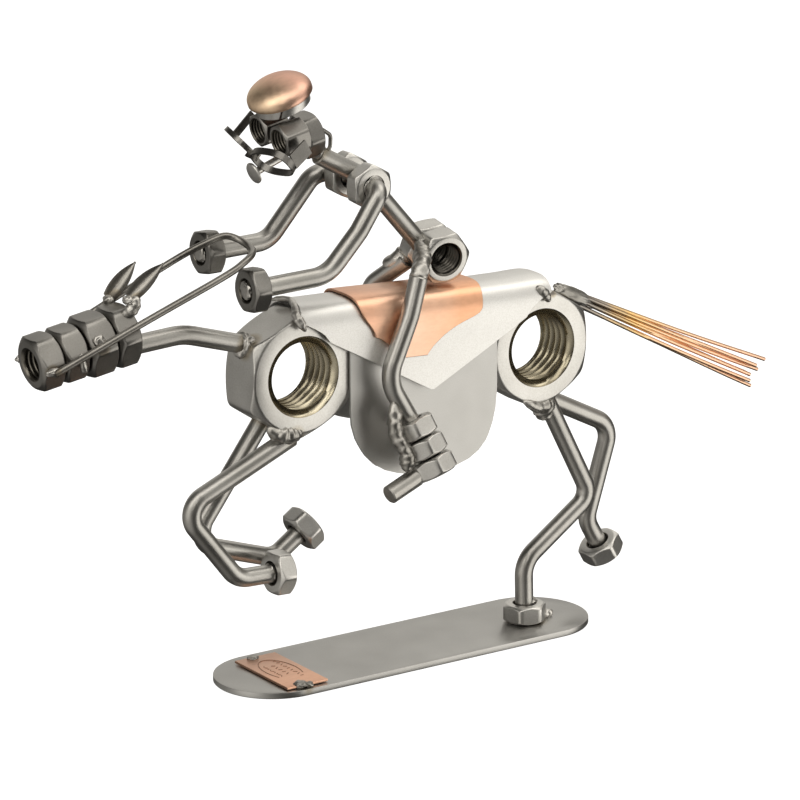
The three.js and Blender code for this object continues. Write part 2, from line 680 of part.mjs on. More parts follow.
function buildRiderLegs(hips) {
  for (const [name, boot] of Object.entries(BOOTS)) {
    const way = at(...boot.way).normalize();
    const nuts = boot.corners.map((corner, i) => {
      const spot = at(...boot.top).addScaledVector(way, i * boot.step);
      return addNut(`${name}_boot_nut_${i + 1}`, M8, spot, way, at(...corner));
    });
    const ankle = at(...boot.top).addScaledVector(way, -0.6);
    const leg = barSolid([...boot.route, ankle.toArray()], [...hips, nutSpace(M8, nuts[0])]);
    add(`${name}_leg`, geometryOf(leg), steel());

    const toes = at(-0.93, Math.sign(boot.top[1]) * 0.08, -0.33).normalize();
    const heel = at(...boot.heel).addScaledVector(toes, 1.8);
    const tip = heel.clone().addScaledVector(toes, 12.4);
    const foot = barSolid([heel.toArray(), tip.toArray()], [nutSpace(M8, nuts[2])]);
    add(`${name}_foot`, geometryOf(foot), steel());
  }
}

buildBase();
buildBodyNuts();
buildBodySheet();
buildSaddle();
buildCopperSheet();
buildLegs();
buildHorseHead();
buildEars();
buildReins();
buildTail();
const riderCutters = buildRiderBody();
buildRiderHead();
buildArms();
buildRiderLegs(riderCutters);

export default root;
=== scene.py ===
"""Racehorse and jockey welded from hex nuts, bent bar, sheet and copper wire: the finished look.
Lengths are in millimetres until a mesh is made; the frame is that of the part, +Z up."""

import math

import bmesh
import bpy
from mathutils import Matrix, Vector, noise


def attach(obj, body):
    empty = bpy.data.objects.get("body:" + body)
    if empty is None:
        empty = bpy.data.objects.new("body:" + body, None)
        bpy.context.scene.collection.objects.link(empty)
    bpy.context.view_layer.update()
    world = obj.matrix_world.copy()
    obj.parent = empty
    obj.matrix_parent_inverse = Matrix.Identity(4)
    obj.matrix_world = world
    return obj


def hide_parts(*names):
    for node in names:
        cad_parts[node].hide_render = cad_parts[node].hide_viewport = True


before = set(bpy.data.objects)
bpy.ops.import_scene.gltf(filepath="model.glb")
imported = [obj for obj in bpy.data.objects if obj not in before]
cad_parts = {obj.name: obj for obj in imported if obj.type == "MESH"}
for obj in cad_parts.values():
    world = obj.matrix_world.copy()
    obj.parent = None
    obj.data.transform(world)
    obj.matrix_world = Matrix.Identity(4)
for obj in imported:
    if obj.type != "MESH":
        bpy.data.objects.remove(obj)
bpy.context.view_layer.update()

MM = 0.001
GAP = 0.3

# ---- camera, light and floor ----


def placed(x, y, z, origin):
    """The matrix of a frame with these three axes and this origin."""
    return Matrix(((x.x, y.x, z.x, origin[0]), (x.y, y.y, z.y, origin[1]),
                   (x.z, y.z, z.z, origin[2]), (0, 0, 0, 1)))


def build_camera():
    data = bpy.data.cameras.new("camera")
    data.lens = 192.06
    data.sensor_width = 36.0
    data.clip_end = 20
    camera = bpy.data.objects.new("camera", data)
    right = Vector((0.8281, -0.5606, -0.0036))
    up = Vector((0.1558, 0.2240, 0.9621))
    back = Vector((-0.5385, -0.7972, 0.2728))
    camera.matrix_world = placed(right, up, back, (-0.72875, -1.07692, 0.45216))
    bpy.context.scene.collection.objects.link(camera)
    bpy.context.scene.camera = camera


# Soft boxes: name, direction, distance and size in metres, brightness and the point they face
MIDDLE = (0, 0, 0.09)
SOFT_BOXES = [
    ("right_low", (0.5385, -0.797, -0.2728), 0.45, (0.42, 0.40), 1.45, (0.07, 0.03, 0.095)),
    ("front_top", (-0.20, -0.46, 0.86), 0.85, (0.80, 0.44), 1.7, MIDDLE),
    ("overhead", (0.50, -0.12, 0.80), 0.80, (0.40, 0.50), 1.5, MIDDLE),
    ("by_the_camera", (-0.52, -0.72, 0.46), 1.6, (0.34, 0.70), 2.4, MIDDLE),
    ("left_strip", (-0.80, -0.22, 0.60), 0.80, (0.40, 0.50), 1.5, MIDDLE),
]


def area_light(name, way, reach, size, radiance, middle):
    data = bpy.data.lights.new(name, "AREA")
    data.shape = "RECTANGLE"
    data.size = size[0]
    data.size_y = size[1]
    data.energy = radiance * math.pi * size[0] * size[1]
    data.color = WARM
    light = bpy.data.objects.new(name, data)
    way = Vector(way).normalized()
    light.location = Vector(middle) + way * reach
    light.rotation_euler = (-way).to_track_quat("-Z", "Y").to_euler()
    bpy.context.scene.collection.objects.link(light)


# Soft glows of the room: direction, degrees to where each starts to fade and ends, brightness
GLOWS = [
    ((0.45, 0.80, 0.32), 14, 50, 0.56),
    ((0.54, 0.20, 0.80), 12, 45, 0.56),
    ((0.56, -0.62, 0.50), 12, 36, 0.80),
    ((-0.60, 0.75, -0.20), 8, 40, 0.24),
    ((-0.85, -0.20, -0.45), 14, 55, 0.42),
    ((-0.95, -0.12, 0.22), 14, 40, 0.60),
]
DIM = 0.05
WARM = (1.0, 0.965, 0.89)


def build_room():
    world = bpy.data.worlds.new("studio")
    bpy.context.scene.world = world
    world.use_nodes = True
    tree = world.node_tree
    tree.nodes.clear()
    out = tree.nodes.new("ShaderNodeOutputWorld")
    back = tree.nodes.new("ShaderNodeBackground")
    way = tree.nodes.new("ShaderNodeTexCoord").outputs["Generated"]
    total = DIM
    for direction, full, edge, strength in GLOWS:
        dot = tree.nodes.new("ShaderNodeVectorMath")
        dot.operation = "DOT_PRODUCT"
        tree.links.new(way, dot.inputs[0])
        dot.inputs[1].default_value = Vector(direction).normalized()
        spread = tree.nodes.new("ShaderNodeMapRange")
        spread.interpolation_type = "SMOOTHSTEP"
        tree.links.new(dot.outputs["Value"], spread.inputs["Value"])
        spread.inputs["From Min"].default_value = math.cos(math.radians(edge))
        spread.inputs["From Max"].default_value = math.cos(math.radians(full))
        total = math_node(tree, "MULTIPLY_ADD", spread.outputs["Result"], strength, total)
    color = tree.nodes.new("ShaderNodeCombineColor")
    for channel, share in zip(("Red", "Green", "Blue"), WARM):
        tree.links.new(math_node(tree, "MULTIPLY", total, share), color.inputs[channel])
    tree.links.new(color.outputs[0], back.inputs["Color"])
    tree.links.new(back.outputs[0], out.inputs["Surface"])


def build_light():
    """The room and its soft boxes, as in a plain studio."""
    build_room()
    for soft_box in SOFT_BOXES:
        area_light(*soft_box)
    bpy.context.scene.view_settings.view_transform = "Standard"


def build_floor():
    reach = 6.0
    level = -0.0002
    corners = [(-reach, -reach, level), (reach, -reach, level), (reach, reach, level), (-reach, reach, level)]
    mesh = bpy.data.meshes.new("floor")
    mesh.from_pydata(corners, [], [(0, 1, 2, 3)])
    floor = bpy.data.objects.new("floor", mesh)
    bpy.context.scene.collection.objects.link(floor)
    floor.data.materials.append(floor_material())
    floor.visible_glossy = False
    floor.visible_shadow = False


# ---- materials ----


def new_material(name):
    material = bpy.data.materials.new(name)
    material.use_nodes = True
    tree = material.node_tree
    shader = tree.nodes["Principled BSDF"]
    return material, tree, shader


def floor_material():
    material, _, shader = new_material("paper_white")
    shader.inputs["Base Color"].default_value = (0.5, 0.5, 0.5, 1)
    shader.inputs["Roughness"].default_value = 0.9
    shader.inputs["Specular IOR Level"].default_value = 0.1
    shader.inputs["Emission Color"].default_value = (1, 1, 1, 1)
    shader.inputs["Emission Strength"].default_value = 0.95
    return material


def texture(tree, coords, scale, detail=4.0, stretch=None):
    """Noise in object coordinates (metres); stretch squeezes it along an axis into streaks."""
    node = tree.nodes.new("ShaderNodeTexNoise")
    node.inputs["Scale"].default_value = scale
    node.inputs["Detail"].default_value = detail
    if stretch:
        mapping = tree.nodes.new("ShaderNodeMapping")
        mapping.inputs["Scale"].default_value = stretch
        tree.links.new(coords, mapping.inputs["Vector"])
        coords = mapping.outputs["Vector"]
    tree.links.new(coords, node.inputs["Vector"])
    return node.outputs["Fac"]


def ramp_of(tree, value, stops):
    """The colours of the stops (position, colour), blended by a value."""
    ramp = tree.nodes.new("ShaderNodeValToRGB")
    elements = ramp.color_ramp.elements
    while len(elements) > 1:
        elements.remove(elements[-1])
    elements[0].position = stops[0][0]
    elements[0].color = (*stops[0][1], 1)
    for position, color in stops[1:]:
        element = elements.new(position)
        element.color = (*color, 1)
    tree.links.new(value, ramp.inputs[0])
    return ramp.outputs[0]


def mix(tree, factor, a, b, kind="MIX"):
    node = tree.nodes.new("ShaderNodeMix")
    node.data_type = "RGBA"
    node.blend_type = kind
    for socket, value in ((0, factor), (6, a), (7, b)):
        if isinstance(value, (float, int)):
            node.inputs[socket].default_value = value
        elif isinstance(value, tuple):
            node.inputs[socket].default_value = (*value, 1)
        else:
            tree.links.new(value, node.inputs[socket])
    return node.outputs[2]


def math_node(tree, operation, a, b=0.0, c=0.0):
    node = tree.nodes.new("ShaderNodeMath")
    node.operation = operation
    for i, value in enumerate((a, b, c)):
        if isinstance(value, (float, int)):
            node.inputs[i].default_value = value
        else:
            tree.links.new(value, node.inputs[i])
    return node.outputs[0]


def link_metal(tree, shader, color, roughness, height, strength, distance):
    """Links colour, roughness and relief to a metal's shader."""
    tree.links.new(color, shader.inputs["Base Color"])
    tree.links.new(roughness, shader.inputs["Roughness"])
    shader.inputs["Metallic"].default_value = 1.0
    bump = tree.nodes.new("ShaderNodeBump")
    bump.inputs["Strength"].default_value = strength
    bump.inputs["Distance"].default_value = distance
    tree.links.new(height, bump.inputs["Height"])
    tree.links.new(bump.outputs[0], shader.inputs["Normal"])


def near_spots(tree, coords, spots):
    """1 at any of the spots (x, y, z, reach in millimetres), falling to 0 at its reach."""
    total = None
    for x, y, z, reach in spots:
        away = tree.nodes.new("ShaderNodeVectorMath")
        away.operation = "DISTANCE"
        tree.links.new(coords, away.inputs[0])
        away.inputs[1].default_value = (x * MM, y * MM, z * MM)
        nearness = math_node(tree, "DIVIDE", away.outputs["Value"], reach * MM)
        nearness = math_node(tree, "SUBTRACT", 1.0, nearness)
        nearness = math_node(tree, "MAXIMUM", nearness, 0.0)
        total = nearness if total is None else math_node(tree, "MAXIMUM", total, nearness)
    return total


HEAT_TINT = [(0.42, (1, 1, 1)), (0.58, (0.80, 0.74, 0.64)), (0.74, (0.46, 0.43, 0.40)),
             (1.0, (0.18, 0.175, 0.17))]


def metal(name, light, dark, rough, spots=(), streak=(1, 1, 1), grain=1.0):
    """Bare metal with cloudy variation, fine brushing, small pits and heat tint near the welds."""
    material, tree, shader = new_material(name)
    coords = tree.nodes.new("ShaderNodeTexCoord").outputs["Object"]
    cloud = texture(tree, coords, 55, 2.0)
    fine = texture(tree, coords, 2200, 3.0, streak)
    color = ramp_of(tree, cloud, [(0.30, dark), (0.68, light)])
    shade = ramp_of(tree, fine, [(0.35, (0.86, 0.855, 0.84)), (0.62, (1, 1, 1))])
    color = mix(tree, 0.7, color, shade, "MULTIPLY")
    roughness = math_node(tree, "MULTIPLY_ADD", cloud, 0.10, rough - 0.05)
    if spots:
        heat = near_spots(tree, coords, spots)
        heat = math_node(tree, "MULTIPLY_ADD", cloud, 0.5, math_node(tree, "SUBTRACT", heat, 0.25))
        color = mix(tree, 1.0, color, ramp_of(tree, heat, HEAT_TINT), "MULTIPLY")
        hot = math_node(tree, "MAXIMUM", math_node(tree, "SUBTRACT", heat, 0.5), 0.0)
        roughness = math_node(tree, "MULTIPLY_ADD", hot, 0.5, roughness)
    pits = texture(tree, coords, 900, 2.0)
    height = math_node(tree, "ADD", math_node(tree, "MULTIPLY", fine, 0.4), pits)
    link_metal(tree, shader, color, roughness, height, 0.12 * grain, 0.00004)
    return material


# Where the pieces are welded, with the reach of the heat tint around each
WELDS = [
    (-58.5, -1.5, 110.5, 9), (-100.5, 0, 116.5, 8), (-101, -8, 132, 6), (-101, 6, 130, 6),
    (-46, -5, 81, 9), (-48, 6, 84, 9), (-50, -5, 36.9, 5), (-34, 5.9, 46, 5), (45, -3.6, 5, 7),
    (51.5, -3.8, 78, 9), (55, 4.4, 76, 9), (82, 4.4, 18, 5), (62, 0, 110, 12),
    (52, -9, 113, 4), (7.5, -4, 131, 9), (1, -8, 129.5, 6), (-16.9, -6, 156.5, 7),
    (-31.5, 0, 168, 7), (-64, -13.2, 131.5, 5), (-64, 13.2, 138, 5), (-8, -17, 81, 5), (10, 17, 81, 5),
    (-131.5, -10, 115, 5), (-131.5, 10, 115, 5), (-114.5, -8.5, 120, 5),
]


def copper_metal(name, stops, start, way, rough, worn=0.5):
    """Copper whose heat colours run along a direction, broken up by cloudy noise. The direction's
    length is how much of the ramp a metre covers, and start is where on it the ramp begins."""
    material, tree, shader = new_material(name)
    coords = tree.nodes.new("ShaderNodeTexCoord").outputs["Object"]
    split = tree.nodes.new("ShaderNodeSeparateXYZ")
    tree.links.new(coords, split.inputs[0])
    position = math_node(tree, "MULTIPLY", split.outputs["X"], way[0])
    position = math_node(tree, "MULTIPLY_ADD", split.outputs["Y"], way[1], position)
    position = math_node(tree, "MULTIPLY_ADD", split.outputs["Z"], way[2], position)
    cloud = texture(tree, coords, 90, 3.0)
    fine = texture(tree, coords, 900, 5.0, (0.4, 1, 1))
    position = math_node(tree, "ADD", position, -start)
    position = math_node(tree, "MULTIPLY_ADD", cloud, 0.35, position)
    color = ramp_of(tree, position, stops)
    shade = ramp_of(tree, fine, [(0.35, (0.84, 0.80, 0.78)), (0.62, (1, 1, 1))])
    color = mix(tree, worn, color, shade, "MULTIPLY")
    roughness = math_node(tree, "MULTIPLY_ADD", fine, 0.3 * worn, rough - 0.15 * worn)
    link_metal(tree, shader, color, roughness, fine, 0.4 * worn, 0.00005)
    return material


NUT_STEEL = metal("nut_steel", (0.76, 0.75, 0.73), (0.58, 0.57, 0.55), 0.34, WELDS)
# A darker steel: the head and hand nuts' own darker metal, and painted shade under the cap on the eye nuts
# and the nut at the back of the head; the spectacles use it too.
DARK_AND_SHADED_STEEL = metal("dark_and_shaded_steel", (0.33, 0.32, 0.305), (0.19, 0.184, 0.175), 0.30, WELDS)
# The threads' metals are darker than the nuts' as painted shade inside the bores; the small nuts' narrow
# bores get the darker one.
THREAD_STEEL = metal("thread_steel", (0.66, 0.60, 0.46), (0.34, 0.30, 0.22), 0.24)
SHADED_THREAD = metal("shaded_thread", (0.22, 0.205, 0.18), (0.10, 0.095, 0.085), 0.30)
BAR_STEEL = metal("bar_steel", (0.55, 0.54, 0.52), (0.42, 0.41, 0.39), 0.34, WELDS, grain=0.5)
SATIN_STEEL = metal("satin_steel", (0.88, 0.875, 0.865), (0.80, 0.795, 0.785), 0.42, WELDS, (1, 6, 1))
FLAP_STEEL = metal("flap_steel", (0.66, 0.655, 0.645), (0.56, 0.555, 0.545), 0.46, WELDS, (6, 6, 1))
BASE_STEEL = metal("base_steel", (0.54, 0.535, 0.525), (0.46, 0.455, 0.445), 0.36,
                   [(45, -3.6, 2, 12), (-49, -17, 2, 6), (-49, 13, 2, 5)], (1, 8, 8))
DARK_STEEL = metal("dark_steel", (0.40, 0.385, 0.36), (0.22, 0.21, 0.195), 0.32, WELDS)
WELD_METAL = metal("weld_metal", (0.78, 0.76, 0.73), (0.28, 0.27, 0.25), 0.36, grain=2.5)
COPPER_SHEET = copper_metal("copper_sheet", [
    (0.0, (0.80, 0.42, 0.28)), (0.35, (0.92, 0.55, 0.38)), (0.65, (0.94, 0.64, 0.48)),
    (1.0, (0.90, 0.50, 0.31))], -0.55, (18.0, 0, 0), 0.36)
COPPER_CAP = copper_metal("copper_cap_metal", [
    (0.0, (0.98, 0.74, 0.52)), (0.3, (0.96, 0.63, 0.47)), (0.5, (0.86, 0.52, 0.40)),
    (0.9, (0.52, 0.31, 0.23))], -2.72, (55.0, 0, 0), 0.40)
COPPER_LABEL = copper_metal("copper_label_metal", [
    (0.0, (0.80, 0.48, 0.34)), (1.0, (0.88, 0.60, 0.44))], 0.0, (0, 10.0, 0), 0.36)
COPPER_MARK = copper_metal("copper_mark", [
    (0.0, (0.42, 0.24, 0.16)), (1.0, (0.30, 0.17, 0.12))], 0.0, (0, 10.0, 0), 0.45)
COPPER_TAIL = copper_metal("copper_tail", [
    (0.0, (0.30, 0.28, 0.26)), (0.14, (0.42, 0.36, 0.30)), (0.30, (0.86, 0.58, 0.26)),
    (0.46, (0.92, 0.62, 0.40)), (1.0, (0.94, 0.60, 0.42))], 1.03, (13.0, 0, 0), 0.32, 0.1)

# ---- mesh building ----


def mesh_of(name, shape):
    """A mesh in metres from a shape, which is a pair: vertices in millimetres, and faces."""
    verts, faces = shape
    mesh = bpy.data.meshes.new(name)
    mesh.from_pydata([tuple(c * MM for c in v) for v in verts], [], faces)
    return mesh


def clean(mesh, seam=0.0):
    """Turns every face outwards, after joining vertices that lie within seam metres."""
    sheet = bmesh.new()
    sheet.from_mesh(mesh)
    if seam:
        bmesh.ops.remove_doubles(sheet, verts=sheet.verts, dist=seam)
    bmesh.ops.recalc_face_normals(sheet, faces=sheet.faces)
    sheet.to_mesh(mesh)
    sheet.free()


def piece(name, mesh, material, nodes=(), smooth=35):
    """A shown piece; it rides on the only body, root, and stands in for the part's nodes."""
    clean(mesh)
    for face in mesh.polygons:
        face.use_smooth = True
    mesh.set_sharp_from_angle(angle=math.radians(smooth))
    mesh.materials.append(material)
    obj = bpy.data.objects.new(name, mesh)
    bpy.context.scene.collection.objects.link(obj)
    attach(obj, "root")
    if nodes:
        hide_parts(*nodes)
    return obj


def stand(origin, axis, side=(0, 0, 1)):
    """A matrix whose local Z lies along axis and local X as near to side as it can."""
    z = Vector(axis).normalized()
    x = Vector(side)
    x = (x - z * x.dot(z)).normalized()
    y = z.cross(x)
    return placed(x, y, z, origin)


def dress(node, shape, material, smooth=35):
    """The shown form of one of the part's nodes."""
    name = node + "_look"
    return piece(name, mesh_of(name, shape), material, [node], smooth)


def moved(shape, matrix):
    verts, faces = shape
    return [matrix @ Vector(v) for v in verts], faces


def joined(shapes):
    """One shape from several."""
    verts, faces = [], []
    for more, more_faces in shapes:
        shift = len(verts)
        verts += more
        faces += [tuple(v + shift for v in face) for face in more_faces]
    return verts, faces


def circle(radius, level, around):
    turns = [2 * math.pi * k / around for k in range(around)]
    return [Vector((radius * math.cos(a), radius * math.sin(a), level)) for a in turns]


def rings_to_faces(count, around):
    """Quads between consecutive closed rings of `around` vertices."""
    faces = []
    for i in range(count - 1):
        for k in range(around):
            a = i * around + k
            b = i * around + (k + 1) % around
            faces.append((a, b, b + around, a + around))
    return faces


def closed_rings(count, around):
    """The same, with a face over the first ring and one over the last."""
    last = (count - 1) * around
    return rings_to_faces(count, around) + [tuple(range(around)), tuple(range(last, last + around))[::-1]]


def settle(obj):
    """Applies an object's modifiers to its mesh."""
    bpy.context.view_layer.update()
    evaluated = obj.evaluated_get(bpy.context.evaluated_depsgraph_get())
    mesh = bpy.data.meshes.new_from_object(evaluated)
    obj.modifiers.clear()
    obj.data = mesh


# ---- hex nuts ----

# Sizes in millimetres; rim is the radius of the flat face, in shares of the width across flats
RIM = 0.458
CHAMFER = math.tan(math.radians(34))
M24 = dict(flats=36, height=17, bore=21.6, pitch=3.0, mouth=26, rim=0.493)
M12 = dict(flats=18, height=9.4, bore=10.4, pitch=1.75, rim=0.446)
POLL = dict(M12, height=8)
M10 = dict(flats=16, height=8.1, bore=8.6, pitch=1.5, mouth=10.8, rim=0.446)
HIP = dict(flats=15.6, height=8, bore=9.2, pitch=1.5, mouth=11.2)
M8 = dict(flats=13, height=6, bore=6.8, pitch=1.25)
NAPE = dict(M8, height=6.4)
EYE = dict(flats=10, height=9, bore=7, pitch=1.0)


def rounded_hexagon(flats, angle, ease):
    """Distance to a hexagon's side, its corners at multiples of 60 degrees rounded by `ease`."""
    off = abs((angle + math.pi / 6) % (math.pi / 3) - math.pi / 6)
    straight = flats / 2 / math.cos(math.pi / 6 - off)
    centre = (flats / 2 - ease) * 2 / math.sqrt(3)
    touch = math.atan2(ease * math.sin(math.pi / 6), centre + ease * math.cos(math.pi / 6))
    if off > touch:
        return straight
    across = centre * math.sin(off)
    return centre * math.cos(off) + math.sqrt(ease * ease - across * across)


def soft_min(a, b, width):
    """The smaller of two lengths, blended where they are nearly equal."""
    near = max(0.0, width - abs(a - b)) / width
    return min(a, b) - near * near * width / 4


def nut_outside(size, angle, level):
    """Radius of the nut's outside at a height: the hexagon, cut by the chamfer's cone at each
    face and rounded a little along every corner."""
    half = size["height"] / 2
    flats = size["flats"]
    cone = size.get("rim", RIM) * flats + (half - abs(level)) / CHAMFER
    side = rounded_hexagon(flats, angle, 0.09 * flats)
    return soft_min(side, cone, 0.014 * flats)


def mouth_radius(size):
    return size.get("mouth", size["bore"] + 1.2) / 2


def nut_shape(size, sink, around):
    """The nut's skin as rings: outside, both faces and the mouths, countersunk by sink."""
    half = size["height"] / 2
    flats = size["flats"]
    bore = size["bore"] / 2
    mouth = mouth_radius(size)
    rim = size.get("rim", RIM) * flats
    drop = (flats / math.sqrt(3) - rim) * CHAMFER
    levels = [half - drop * k / 8 for k in range(9)]
    levels = levels + [-v for v in reversed(levels)]
    angles = [2 * math.pi * k / around for k in range(around)]
    ease = 0.010 * flats
    side = [[(nut_outside(size, angle, level), level) for angle in angles] for level in levels]
    side[0] = [(r, half - 0.25 * ease) for r, _ in side[0]]
    side[-1] = [(r, -half + 0.25 * ease) for r, _ in side[-1]]
    face = [(bore, half - sink), (mouth, half), (rim - ease, half)]
    profile = [[spot] * around for spot in face] + side
    profile += [[(r, -level)] * around for r, level in reversed(face)]
    verts = []
    for ring in profile:
        for angle, (radius, level) in zip(angles, ring):
            verts.append((radius * math.cos(angle), radius * math.sin(angle), level))
    return verts, rings_to_faces(len(profile), around)


def thread_shape(size, sink, around):
    """The threaded bore: rows that climb one pitch a turn, clamped flat at both ends."""
    half = size["height"] / 2 - sink
    bore = size["bore"] / 2
    pitch = size["pitch"]
    depth = 0.54 * pitch
    per_pitch = 8
    rows = math.ceil((2 * half + 2 * pitch) / pitch * per_pitch)
    verts = []
    for i in range(rows + 1):
        wave = 1 - abs(2 * (i / per_pitch % 1.0) - 1)
        cut = depth * min(1.0, max(0.0, wave * 1.6 - 0.2))
        for k in range(around):
            level = -half - pitch + pitch * (i / per_pitch + k / around)
            level = max(-half, min(half, level))
            fade = min(1.0, (half - abs(level)) / (0.3 * pitch))
            angle = 2 * math.pi * k / around
            radius = bore + cut * fade
            verts.append((radius * math.cos(angle), radius * math.sin(angle), level))
    faces = []
    for i in range(rows):
        row = i * around
        for k in range(around - 1):
            faces.append((row + k, row + k + 1, row + around + k + 1, row + around + k))
        up = row + per_pitch * around
        if i + per_pitch < rows:
            faces.append((row + around - 1, up, up + around, row + 2 * around - 1))
    return verts, faces


def nut(name, size, matrix, material=NUT_STEEL, around=72):
    """A nut as one closed mesh: skin and thread share their end rings."""
    sink = (mouth_radius(size) - size["bore"] / 2) * 0.6
    shape = joined([nut_shape(size, sink, around), thread_shape(size, sink, around)])
    obj = dress(name, moved(shape, matrix), material, 28)
    clean(obj.data, 1e-6)
    mark_thread(obj, matrix, size["bore"] / 2 + 0.6 * size["pitch"])


def mark_thread(obj, matrix, radius):
    """Gives the faces inside this radius the thread's metal, darkened as painted shade inside the bore, less
    dark in the big nuts' wide bores.
    """
    obj.data.materials.append(THREAD_STEEL if radius > 10 else SHADED_THREAD)
    back = matrix.inverted()
    for face in obj.data.polygons:
        spot = back @ (face.center / MM)
        if math.hypot(spot.x, spot.y) < radius:
            face.material_index = 1


def leaning(degrees):
    """A direction that leans from the vertical towards the tail."""
    return Vector((math.sin(math.radians(degrees)), 0, math.cos(math.radians(degrees))))


NEARWARD = (0, -1, 0)
CHEST = stand((-42.9, 0, 99.7), NEARWARD, leaning(3.5))
HAUNCH = stand((47.8, 0, 95), NEARWARD, leaning(1.5))
HEAD_WAY = leaning(81)


def head_spot(reach):
    return Vector((-134.1, 0, 115.9)) + HEAD_WAY * reach


def face_matrix(x=-49.5, z=174.8, pitch=11.5, roll=8):
    """The frame of the rider's face, or of the cap on it, which looks down and tilts sideways."""
    turn = Matrix.Rotation(math.radians(-pitch), 4, "Y") @ Matrix.Rotation(math.radians(roll), 4, "X")
    return Matrix.Translation((x, 0, z)) @ turn


FACE = face_matrix()
CAP = face_matrix(-44.8, 186.6, 22, 4)
POLL_PLACE = stand(head_spot(30.5), HEAD_WAY, (0, 1, 0))
NAPE_NUT = (NAPE, FACE @ stand((13.6, 0, -4.1), (1, 0, 0), (0, 1, 0)))
HEAD_NUTS = {"muzzle_nut": (M10, 4.05), "nose_nut": (M10, 12.45), "cheek_nut": (M12, 21.5),
             "poll_nut": (POLL, 30.5)}
HIP_MIDDLE = Vector((11.9, 0, 130.35))
HIP_WAY = Vector((-0.11, -0.985, -0.127)).normalized()
HIP_APART = HIP["height"] / 2 + GAP
HIPS = [(HIP, stand(HIP_MIDDLE + HIP_WAY * reach, HIP_WAY, (0.4, 0, 0.917)))
        for reach in (HIP_APART, -HIP_APART)]

# The smallest nuts: middle, the bore's direction and the way towards a corner
SMALL_NUTS = {
    "near_fore_hoof": ((-50.6, -5, 36.9), (1, 0, -0.039), NEARWARD),
    "far_fore_hoof": ((-34.3, 5.9, 45.58), (13.1, 0, 8.9), NEARWARD),
    "near_hind_hoof": ((45, -3.6, 5.3), (0, 0, 1), (-1, 0.3, 0)),
    "far_hind_hoof": ((81.8, 4.4, 18.4), (7, 0, -12.3), NEARWARD),
    "near_shoulder_nut": ((-16.9, -6.3, 156.2), NEARWARD, (0, 0, 1)),
    "far_shoulder_nut": ((-16.9, 6.3, 157.6), NEARWARD, (0, 0, 1)),
    "near_hand_nut": ((-63.6, -13.2, 131.5), (1, 0, 0), (0, 1, -0.08)),
    "far_hand_nut": ((-63.6, 13.2, 138), (1, 0, 0), (0, 1, -0.15)),
}


def build_nuts():
    nut("chest_nut", M24, CHEST, around=144)
    nut("haunch_nut", M24, HAUNCH, around=144)
    for name, (size, reach) in HEAD_NUTS.items():
        nut(name, size, stand(head_spot(reach), HEAD_WAY, (0, 1, 0)), DARK_AND_SHADED_STEEL)
    for name, place in SMALL_NUTS.items():
        nut(name, M8, stand(*place), DARK_AND_SHADED_STEEL if "hand" in name else NUT_STEEL)
    for name, (size, matrix) in zip(("near_hip_nut", "far_hip_nut"), HIPS):
        nut(name, size, matrix)
    # The nut at the back of the head and the eye nuts take the darker steel as painted shade under the cap.
    nut("head_back_nut", *NAPE_NUT, DARK_AND_SHADED_STEEL)
    for name, y in (("near_eye_nut", -5.75), ("far_eye_nut", 5.75)):
        nut(name, EYE, FACE @ stand((4.5, y, 0), (1, 0, 0), (0, 0, 1)), DARK_AND_SHADED_STEEL)
    for side in BOOTS:
        for i, matrix in enumerate(boot_nuts(side)):
            nut(f"{side}_boot_nut_{i + 1}", M8, matrix)


# The rider's legs: the bar's route, the top boot nut's middle, the stack's direction and step,
# each nut's way towards a corner, and where the foot starts
BOOTS = {
    "near": dict(route=[(-4, -14.7, 127.2), (-8, -15.7, 115.5, 30), (-17.2, -16.6, 96.6, 11)],
                 top=(-7.1, -16.9, 79.2), way=(0.278, -0.366, -0.8885), step=6.6,
                 corners=[(-0.51, -0.81, 0.29), (-0.33, -0.87, 0.36), (-0.33, -0.87, 0.36)],
                 heel=(-7.5, -21.4, 65.9)),
    "far": dict(route=[(5.9, 6.6, 127), (-1.4, 17, 117.4, 7), (-0.6, 17, 97, 11)],
                top=(10.5, 16.7, 80.4), way=(0.46, 0, -0.888), step=7.1,
                corners=[(-0.56, 0.83, 0)] * 3, heel=(13.5, 16.7, 64.4)),
}


def boot_nuts(side):
    boot = BOOTS[side]
    way = Vector(boot["way"]).normalized()
    return [stand(Vector(boot["top"]) + way * (boot["step"] * i), way, corner)
            for i, corner in enumerate(boot["corners"])]


# ---- bent bars ----


def bent_line(corners):
    """Points and directions along straight runs joined by arcs of each corner's bend radius."""
    step = math.radians(6)
    points = [Vector(c[:3]) for c in corners]
    spots = [points[0]]
    ways = [(points[1] - points[0]).normalized()]
    for i in range(1, len(points) - 1):
        into = (points[i] - points[i - 1]).normalized()
        out = (points[i + 1] - points[i]).normalized()
        angle = into.angle(out)
        radius = corners[i][3]
        centre = points[i] + (out - into).normalized() * (radius / math.cos(angle / 2))
        first = points[i] - into * (radius * math.tan(angle / 2)) - centre
        spin = into.cross(out).normalized()
        steps = max(2, math.ceil(angle / step))
        for k in range(steps + 1):
            turn = Matrix.Rotation(angle * k / steps, 3, spin)
            spots.append(turn @ first + centre)
            ways.append(turn @ into)
    spots.append(points[-1])
    ways.append((points[-1] - points[-2]).normalized())
    return spots, ways


def tube(spots, ways, radius, around=24, ease=0.35):
    """A round tube with eased ends."""
    start, out = spots[0], ways[0]
    end, on = spots[-1], ways[-1]
    stations = [(start, out, radius - ease), (start + out * ease, out, radius)]
    stations += [(spot, way, radius) for spot, way in zip(spots[1:-1], ways[1:-1])]
    stations += [(end - on * ease, on, radius), (end, on, radius - ease)]
    side = out.orthogonal().normalized()
    verts = []
    for spot, way, r in stations:
        side = (side - way * side.dot(way)).normalized()
        other = way.cross(side)
        for k in range(around):
            a = 2 * math.pi * k / around
            verts.append(spot + side * (r * math.cos(a)) + other * (r * math.sin(a)))
    return verts, closed_rings(len(stations), around)


